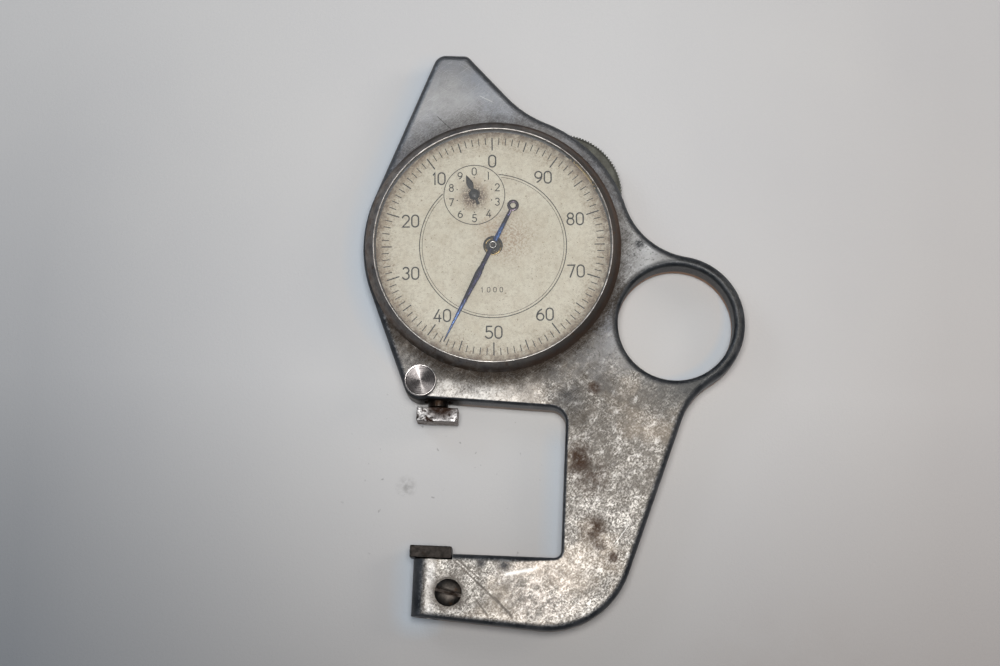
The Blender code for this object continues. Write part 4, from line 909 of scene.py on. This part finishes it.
def make_clamp_screw(look):
    head = [(0, 8.75), (0.9, 8.73), (1.5, 8.67), (2, 8.55), (2.35, 8.38), (2.54, 8.2),
            (2.6, 8.05), (2.6, 7.75), (2.55, 7.7), (1.6, 7.7), (1.6, 1.5), (1.5, 1.4), (0, 1.4)]
    piece = turned("clamp_screw", head, 96)
    boolean(piece, [placed(block("slot", (-4, -0.33, 8.05), (4, 0.33, 10)), turn=-12)])
    rounded(piece, 0.06, 2, 50)
    placed(piece.data, *CLAMP)
    show(piece, look, "housing", "browned_steel", "anvil_clamp_screw")


def make_knob(look):
    base, top, rim = 8.25, 10.6, 3.05
    profile = [(0, top - 0.32), (0.5, top - 0.3), (rim - 0.34, top - 0.14), (rim - 0.26, top - 0.02),
               (rim - 0.2, top), (rim - 0.1, top), (rim - 0.02, top - 0.06), (rim, top - 0.14),
               (rim - 0.02, base + 0.4), (rim - 0.1, base + 0.28), (rim - 0.3, base),
               (1.45, base), (1.45, base + 1.2), (0, base + 1.2)]
    knurl = {8: 0.07, 9: 0.05}
    piece = turned("knob_head", profile, 120, knurl)
    placed(piece.data, *LOCK)
    show(piece, look, "lock", "bright_steel", "lock_knob", sharp=30)


def make_thumbwheel(look):
    teeth, depth = 124, 0.3
    profile = [(1.1, 5.9), (11.5, 5.9), (11.75, 5.86), (12.2, 5.78), (12.3, 5.66), (12.3, 3.34),
               (12.2, 3.22), (11.75, 3.14), (11.5, 3.1), (1.1, 3.1)]
    sunk = {3: depth * 0.85, 4: depth, 5: depth, 6: depth * 0.85}
    piece = turned("thumbwheel_rim", profile, 2 * teeth, sunk)
    piece.location = (THUMB[0] * MM, THUMB[1] * MM, 0)
    show(piece, look, "thumbwheel_shaft", "wheel_steel", "thumbwheel", sharp=25)


def worn_block(name, low, high, round_radius, wear, seed, hole=None):
    """A block with rounded edges, its surface pitted by noise."""
    shell = bmesh.new()
    bmesh.ops.create_cube(shell, size=1)
    bmesh.ops.subdivide_edges(shell, edges=shell.edges, cuts=31, use_grid_fill=True)
    size = Vector(high) - Vector(low)
    centre = (Vector(high) + Vector(low)) / 2
    for spot in shell.verts:
        point = Vector([spot.co[i] * size[i] for i in range(3)])
        core = Vector([max(-size[i] / 2 + round_radius, min(size[i] / 2 - round_radius, point[i]))
                       for i in range(3)])
        outward = Vector((0, 0, 0))
        if (point - core).length > 1e-9:
            outward = (point - core).normalized()
            point = core + outward * round_radius
        place = point + centre
        dent = noise.noise(place * 1.3 + Vector((seed, 0, 0))) + 0.5 * noise.noise(place * 3.1)
        spot.co = (place - outward * wear * max(0, dent + 0.25)) * MM
    mesh = bpy.data.meshes.new(name)
    bmesh.ops.recalc_face_normals(shell, faces=shell.faces)
    shell.to_mesh(mesh)
    shell.free()
    piece = scratch_object(name, mesh)
    if hole:
        boolean(piece, [hole])
    return piece


def make_pad(look):
    low, high = (-13.5, -34.91, 1.2), (-5.5, -32.1, 6.8)
    piece = worn_block("pad_block", low, high, 0.16, 0.05, 3, bore_tool(1.5, -33.75, -31))
    show(piece, look, "spindle_body", "bright_steel", "contact_pad", sharp=45, weighted=False)


def make_anvil(look):
    low, high = (-13.5, -61.2, 1.2), (-5.5, -58.85, 6.8)
    piece = worn_block("anvil_block", low, high, 0.14, 0.05, 8)
    boolean(piece, [bore_tool(1.9, -70.9, -60.2)], "UNION")
    show(piece, look, "anvil_body", "browned_steel", "anvil", sharp=45, weighted=False)


# ---------------------------------------------------------------- dial printing

INK_LOW, INK_HIGH = DIAL_FACE - 0.02, DIAL_FACE + 0.015
DIGIT_MID = 0.28


def loop_ribbon(points, width):
    """A flat loop of ink along points, as a thin closed solid."""
    count = len(points)
    spots, faces = [], []
    for i, here in enumerate(points):
        heading = angle_to(points[i - 1], points[(i + 1) % count])
        sides = [sideways(here, heading, width / 2), sideways(here, heading, -width / 2)]
        spots += [(*side, z) for z in (INK_HIGH, INK_LOW) for side in sides]
        a, b = 4 * i, 4 * ((i + 1) % count)
        faces += [[a, a + 1, b + 1, b], [a + 2, b + 2, b + 3, a + 3],
                  [a, b, b + 2, a + 2], [a + 1, a + 3, b + 3, b + 1]]
    return new_mesh("ink", spots, faces)


def ribbon(points, width):
    """A flat line of ink along points, as a thin closed solid with round ends."""
    half = width / 2
    left, right = [], []
    for i, here in enumerate(points):
        before = points[max(0, i - 1)]
        after = points[min(len(points) - 1, i + 1)]
        heading = angle_to(before, after)
        reach = half
        if 0 < i < len(points) - 1:
            bend = (angle_to(here, after) - angle_to(before, here) + 180) % 360 - 180
            heading = angle_to(before, here) + bend / 2
            reach = half / max(0.5, cos(radians(bend / 2)))
        left.append(sideways(here, heading, reach))
        right.append(sideways(here, heading, -reach))
    start_heading = angle_to(points[0], points[1])
    end_heading = angle_to(points[-2], points[-1])
    end_cap = arc(points[-1], half, end_heading - 90, end_heading + 90, 45)[1:-1]
    start_cap = arc(points[0], half, start_heading + 90, start_heading + 270, 45)[1:-1]
    outline = right + end_cap + left[::-1] + start_cap
    return prism("ink", outline, INK_LOW, INK_HIGH)


def digit_lines(digit):
    """Centre lines of a digit in a box 0.56 wide and 1 high: its loops, then its open lines."""
    wide, mid = 2 * DIGIT_MID, DIGIT_MID
    return {
        "0": ([arc((mid, 1 - mid), mid, 0, 180, 20) + arc((mid, mid), mid, 180, 360, 20)], []),
        "1": ([], [[(mid, 1), (mid, 0)]]),
        "2": ([], [arc((mid, 1 - mid), mid, 165, -38, 18) + [(0.02, 0), (wide, 0)]]),
        "3": ([], [arc((mid, 0.755), 0.245, 150, -80, 18),
                   arc((mid - 0.01, 0.265), 0.27, 80, -155, 18)]),
        "4": ([], [[(0.4, 1), (0, 0.27), (wide, 0.27)], [(0.42, 0.55), (0.42, 0)]]),
        "5": ([], [[(0.5, 1), (0.1, 1), (0.06, 0.56)],
                   arc((mid - 0.02, 0.31), 0.3, 128, -150, 18)]),
        "6": ([circle((mid, 0.29), 0.285, 20)], [arc((mid + 0.34, 0.33), 0.62, 182, 112, 14)]),
        "7": ([], [[(0, 1), (wide, 1), (0.18, 0)]]),
        "8": ([circle((mid, 0.755), 0.235, 18), circle((mid, 0.27), 0.275, 20)], []),
        "9": ([circle((mid, 0.71), 0.285, 20)], [arc((mid - 0.34, 0.67), 0.62, 2, -68, 14)]),
    }[digit]


def on_dial(points, centre, height, total, start):
    """A digit's points at its start in a number of a total width, turned with the dial's printing."""
    spots = []
    for x, y in points:
        flat_x = (x - DIGIT_MID) * height - total / 2 + start
        flat_y = (y - 0.5) * height
        spots.append(polar(centre, hypot(flat_x, flat_y), degrees(atan2(flat_y, flat_x)) + DIAL_TILT))
    return spots


def number(text, centre, height, stroke, spacing=1, flag=0, slim_one=0):
    """Ink meshes of a number centred on a point. flag is the reach of a 1's flag, and slim_one is
    how much less room a 1 takes than another digit."""
    meshes = []
    steps = [spacing - (slim_one if digit == "1" else 0) for digit in text]
    starts = [sum(steps[:place]) * height for place in range(len(text))]
    total = starts[-1] + (slim_one * height if text[0] == "1" else 0)
    for start, digit in zip(starts, text):
        loops, lines = digit_lines(digit)
        if digit == "1" and flag:
            lines[0].insert(0, (DIGIT_MID - flag, 0.82))
        spot = (centre, height, total, start)
        meshes += [loop_ribbon(on_dial(loop, *spot), stroke) for loop in loops]
        meshes += [ribbon(on_dial(line, *spot), stroke) for line in lines]
    return meshes


def open_circle(radius, width, gap_centre, gap_radius):
    """An ink circle that stops where it meets a round gap."""
    inside = [dist(polar(ORIGIN, radius, angle), gap_centre) < gap_radius for angle in range(360)]
    first = next(angle for angle in range(360) if inside[angle - 1] and not inside[angle])
    outside = [angle for angle in range(first, first + 360) if not inside[angle % 360]]
    return ribbon([polar(ORIGIN, radius, angle) for angle in outside[::2]], width)


def make_ticks():
    meshes = []
    for tick in range(100):
        inner, width = 20.5, 0.17
        if tick % 10 == 0:
            inner, width = 19.38, 0.25
        elif tick % 5 == 0:
            inner, width = 19.92, 0.22
        angle = 90 + DIAL_TILT + 3.6 * tick
        meshes.append(ribbon([polar(ORIGIN, inner, angle), polar(ORIGIN, 21.8, angle)], width))
    return meshes


def make_numbers():
    meshes = []
    for ten in range(10):
        text = str(ten * 10)
        radius = 17 if ten % 5 else 17.2
        x, y = polar(ORIGIN, radius, 90 + DIAL_TILT + 36 * ten)
        spot = (x - (0.42 if ten == 1 else 0), y - 0.1)
        meshes += number(text, spot, 2.38, 0.29, 0.77, flag=0.13, slim_one=0.22)
    return meshes + number("1000", polar(ORIGIN, 8.85, 268 + DIAL_TILT), 0.95, 0.13, 1.3, flag=0.22)


def make_small_dial():
    meshes = [loop_ribbon(circle(COUNTER, 6, 96), 0.15)]
    for unit in range(10):
        angle = 90 + DIAL_TILT - 36 * unit
        meshes += number(str(unit), polar(COUNTER, 4.75, angle), 1.45, 0.2)
        meshes.append(prism("ink", circle(polar(COUNTER, 3.55, angle), 0.13, 10), INK_LOW, INK_HIGH))
    return meshes


def make_printing(look):
    meshes = make_ticks() + make_numbers() + make_small_dial()
    meshes += [open_circle(radius, width, COUNTER, 6.1) for radius, width in ((14.4, 0.17), (13.9, 0.09))]
    piece = scratch_object("dial_printing", joined("dial_printing", meshes))
    show(piece, look, "housing", "dial_cream", weighted=False)


# ---------------------------------------------------------------- hands

def loft_blade(name, stations, low, high):
    """A blade along +Y from (y, half width) stations, its top slightly crowned."""
    crown = [(-1, 0), (-1, 0.45), (-0.55, 0.85), (0, 1), (0.55, 0.85), (1, 0.45), (1, 0)]
    spots, faces = [], []
    for y, half in stations:
        spots += [(half * side, y, low + (high - low) * rise) for side, rise in crown]
    count, last = len(crown), (len(stations) - 1) * len(crown)
    for first in range(0, last, count):
        for j in range(count):
            a, b = first + j, first + (j + 1) % count
            faces.append([a, b, b + count, a + count])
    faces += [list(range(count)), list(range(last, last + count))]
    return new_mesh(name, spots, faces)


def make_main_hand(look):
    low, high = 9.1, 9.26
    stations = [(-8, 0.34), (-6, 0.37), (-4, 0.4), (-2, 0.44), (0, 0.46), (2.2, 0.44),
                (4.6, 0.43), (5.5, 0.56), (6.2, 0.64), (7, 0.62), (8.4, 0.56), (10, 0.49),
                (12.5, 0.41), (15, 0.32), (18, 0.21), (20.4, 0.13), (21.45, 0.08)]
    piece = scratch_object("long_hand", loft_blade("long_hand", stations, low, high))
    tail = (0, -8.85)
    eye = [(1.15, high - 0.06), (1.15, low), (0.53, low), (0.53, high - 0.06), (0.62, high),
           (1.05, high)]
    collet = [(0, high - 0.02), (0.42, high - 0.02), (0.46, high + 0.1), (0.56, high + 0.13),
              (0.74, high + 0.1), (0.81, high + 0.02), (0.84, low - 0.15), (0, low - 0.15)]
    boolean(piece, [placed(lathe("eye", eye, 64), *tail), lathe("collet", collet, 64)], "UNION")
    boolean(piece, [pin_tool(0.52, low - 1, high + 1, *tail)])
    placed(piece.data, turn=MAIN_ANGLE)
    show(piece, look, "centre_shaft", "blued_steel", "main_hand")


def make_counter_hand(look):
    low, high = 8.72, 8.87
    stations = [(-2.15, 0.28), (-1.6, 0.27), (-0.9, 0.26), (0.9, 0.22), (1.2, 0.3), (1.6, 0.5),
                (2, 0.63), (2.4, 0.66), (2.8, 0.58), (3.2, 0.44), (3.7, 0.25), (4.18, 0.05)]
    piece = scratch_object("small_hand", loft_blade("small_hand", stations, low, high))
    dome = [(0, high + 0.36), (0.3, high + 0.35), (0.6, high + 0.28), (0.85, high + 0.16),
            (1.02, high + 0.02), (1.08, high - 0.06), (1.08, low), (0, low)]
    boolean(piece, [lathe("dome", dome, 64)], "UNION")
    placed(piece.data, *COUNTER, turn=COUNTER_ANGLE)
    show(piece, look, "counter_shaft", "black_steel", "counter_hand")


# ---------------------------------------------------------------- scene

def floor_shade(look):
    """The floor dims towards the viewer, warms to the right and cools to the left."""
    look.coat((0.26, 0.247, 0.24), look.by_y(-26, -100), 0.84)
    look.coat((0.4, 0.355, 0.335), look.by_x(26, 90), look.by_y(80, -20, 0.25, 1), 0.42)
    look.coat((0.19, 0.207, 0.23), look.by_x(-15, -90), look.by_y(60, -90, 0.12, 0.85))


def cool_beside_metal(look):
    """Bluish shade beside the horn and the case, and fainter in the throat, by the jaw and in the ring."""
    off_horn = look.along(HORN_SIDE)
    by_horn = look.times(look.ramp(off_horn, 31.5, 26.5), look.ramp(off_horn, 21, 22),
                         look.by_y(6, 12), look.by_y(42, 37))
    by_case = look.times(look.blob(*ORIGIN, 26.5, 31), look.by_x(-12, -18))
    in_throat = look.times(look.by_x(10.5, 14), look.by_x(19, 18), look.by_y(-33, -38),
                           look.by_y(-61, -59))
    by_jaw = look.times(look.by_x(-18, -14), look.by_x(-6, -8), look.blob(-12, -67, 6, 10))
    in_ring = look.times(look.ramp(look.away_from(RING[0] - 3, RING[1] + 2.8), 12, 13.4),
                         look.ramp(look.away_from(*RING), 12, 11.5))
    fainter = look.times(look.most(in_throat, by_jaw, in_ring), 0.75)
    look.coat((0.47, 0.6, 0.73), look.most(by_horn, by_case, fainter), 0.46)


def cloth_look():
    """Pale cloth with a faint stain, a smear and specks in the throat."""
    look = Look("pale_cloth", Roughness=0.9, Specular_IOR_Level=0.15)
    sag = look.noise(60, 3, 0.5)
    weave = look.noise(0.6, 3, 0.6)
    look.base(look.ramp(sag, 0.35, 0.65), (0.672, 0.666, 0.668), (0.705, 0.697, 0.69))
    look.coat((0.5, 0.41, 0.36), look.blob(62, -92, 2, 30), look.patches(9, 4, 0.6, 0.38, 0.66), 0.35)
    smear = look.times(look.blob(-15.2, -47, 0.2, 2.4), look.patches(1.2, 4, 0.6, 0.38, 0.6), 0.6)
    specks = look.times(look.patches(1.5, 2, 0.5, 0.7, 0.75), look.blob(-4, -46, 16, 30), 0.5)
    look.coat((0.22, 0.215, 0.21), look.most(smear, specks))
    floor_shade(look)
    cool_beside_metal(look)
    return look.finish(None, look.add(look.times(sag, 8), look.times(weave, 0.35)), 0.5, 0.35)


def make_floor():
    reach = 900
    mesh = block("floor", (-reach, -reach, -1), (reach, reach, -0.02))
    floor = scratch_object("floor", mesh)
    mesh.materials.append(cloth_look())


def area_light(name, place, aim, size, power, colour):
    lamp = bpy.data.lights.new(name, "AREA")
    lamp.shape = "DISK"
    lamp.size = size * MM
    lamp.energy = power
    lamp.color = colour
    made = bpy.data.objects.new(name, lamp)
    bpy.context.scene.collection.objects.link(made)
    made.location = Vector(place) * MM
    made.rotation_euler = (Vector(aim) - Vector(place)).to_track_quat("-Z", "Y").to_euler()


def make_lights():
    area_light("key", (10, -48, 430), (12, -14, 0), 150, 1.27, (1, 0.985, 0.96))
    area_light("cool_left", (-420, 330, 380), (0, 0, 0), 260, 0.45, (0.74, 0.85, 1))
    area_light("warm_right", (430, 120, 300), (0, -20, 0), 200, 0.35, (1, 0.88, 0.76))
    world = bpy.data.worlds.new("studio")
    bpy.context.scene.world = world
    world.use_nodes = True
    back = world.node_tree.nodes["Background"]
    back.inputs["Color"].default_value = (0.8, 0.88, 1, 1)
    back.inputs["Strength"].default_value = 0.16
    bpy.context.scene.view_settings.view_transform = "Standard"


def make_camera():
    data = bpy.data.cameras.new("camera")
    data.lens = 70.2
    data.sensor_width = 36
    data.clip_start = 0.01
    camera = bpy.data.objects.new("camera", data)
    bpy.context.scene.collection.objects.link(camera)
    camera.location = (0.012838, -0.087055, 0.380497)
    camera.rotation_euler = (radians(10.6632), radians(1.2128), radians(2.3569))
    bpy.context.scene.camera = camera


def paint(look, *names):
    for name in names:
        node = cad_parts[name]
        node.data.materials.clear()
        node.data.materials.append(look)


def make_case_pieces():
    bright = steel_look("pitted_steel", (0.42, 0.41, 0.4), (0.22, 0.21, 0.205), (0.3, 0.5), 0.8, 0.9,
                        (0.06, 0.028, 0.016), 0.5)
    # Painted reflection: the pad's sides take a warm brown, for the floor seen in them.
    pad = steel_look("rust_pitted_steel", (0.43, 0.42, 0.42), (0.008, 0.006, 0.005), (0.3, 0.48), 0.85,
                     1, (0.026, 0.013, 0.008), 0.52, spot=(-8.7, -31, 2.2, 4),
                     sides=(0.085, 0.05, 0.03))
    dark = steel_look("oil_brown_steel", (0.055, 0.047, 0.041), (0.018, 0.016, 0.014), (0.32, 0.55), 0.9,
                      0.5, (0.06, 0.034, 0.019), 0.58, slot=(CLAMP, -12, 5.4, 0.75))
    black_steel = steel_look("dark_anvil_steel", (0.024, 0.02, 0.018), (0.007, 0.006, 0.005),
                             (0.42, 0.6), 1, 0.4, (0.03, 0.019, 0.012), 0.6)
    cover = steel_look("cover_plate_steel", (0.46, 0.45, 0.44), (0.33, 0.33, 0.34), (0.34, 0.52), 5)
    knob = turned_look("turned_knob", (0.102, 0.095, 0.094), (0.058, 0.053, 0.053), LOCK, 3.05, 107)
    make_frame(frame_look())
    make_bezel(bezel_look())
    make_cover(cover, bright)
    make_clamp_screw(dark)
    make_knob(knob)
    make_thumbwheel(wheel_look())
    make_pad(pad)
    make_anvil(black_steel)
    paint(bright, "lock_cam_pin", "plate_screw_1", "plate_screw_2", "plate_screw_3", "guide_block_screw")


def make_dial_and_hands():
    blued = blued_look()
    make_printing(ink_look())
    make_main_hand(blued)
    make_counter_hand(black_look())
    paint(dial_look(), "dial_plate")
    paint(crystal_look(), "crystal")
    paint(blued, "hairspring")


def paint_movement():
    """The inner pieces keep their CAD shapes and take only a material."""
    # Painted shade: the bush and the front plate under the dial's hole are near black, for their grime and
    # for the shade in the hole.
    grime_and_shade = steel_look("grime_and_shade_bush", (0.02, 0.017, 0.013), (0.008, 0.007, 0.006), (0.4, 0.6), 0.6,
                        0.6, (0.04, 0.03, 0.016), 0.64, 0.6)
    # Painted shade: the spindle and the centre arbor are painted dark, for the shade between the pad and the
    # frame and in the hub.
    shaded_rod = steel_look("dark_spindle_steel", (0.045, 0.036, 0.032), (0.014, 0.012, 0.01), (0.24, 0.4), 1.2,
                     0.5, (0.03, 0.017, 0.01), 0.5)
    arbor = steel_look("ground_steel", (0.55, 0.54, 0.53), (0.38, 0.37, 0.36))
    paint(grime_and_shade, "centre_bush", "movement_front_plate")
    paint(shaded_rod, "spindle", "centre_arbor")
    paint(brass_look(), "movement_back_plate", "plate_pillar_1", "plate_pillar_2", "plate_pillar_3",
          "spindle_guide_block", "hairspring_stud", "spindle_lower_bush", "train_gear", "thumbwheel_gear",
          "takeup_gear")
    paint(arbor, "counter_arbor", "thumbwheel_arbor", "takeup_arbor")


make_case_pieces()
make_dial_and_hands()
paint_movement()
make_floor()
make_lights()
make_camera()
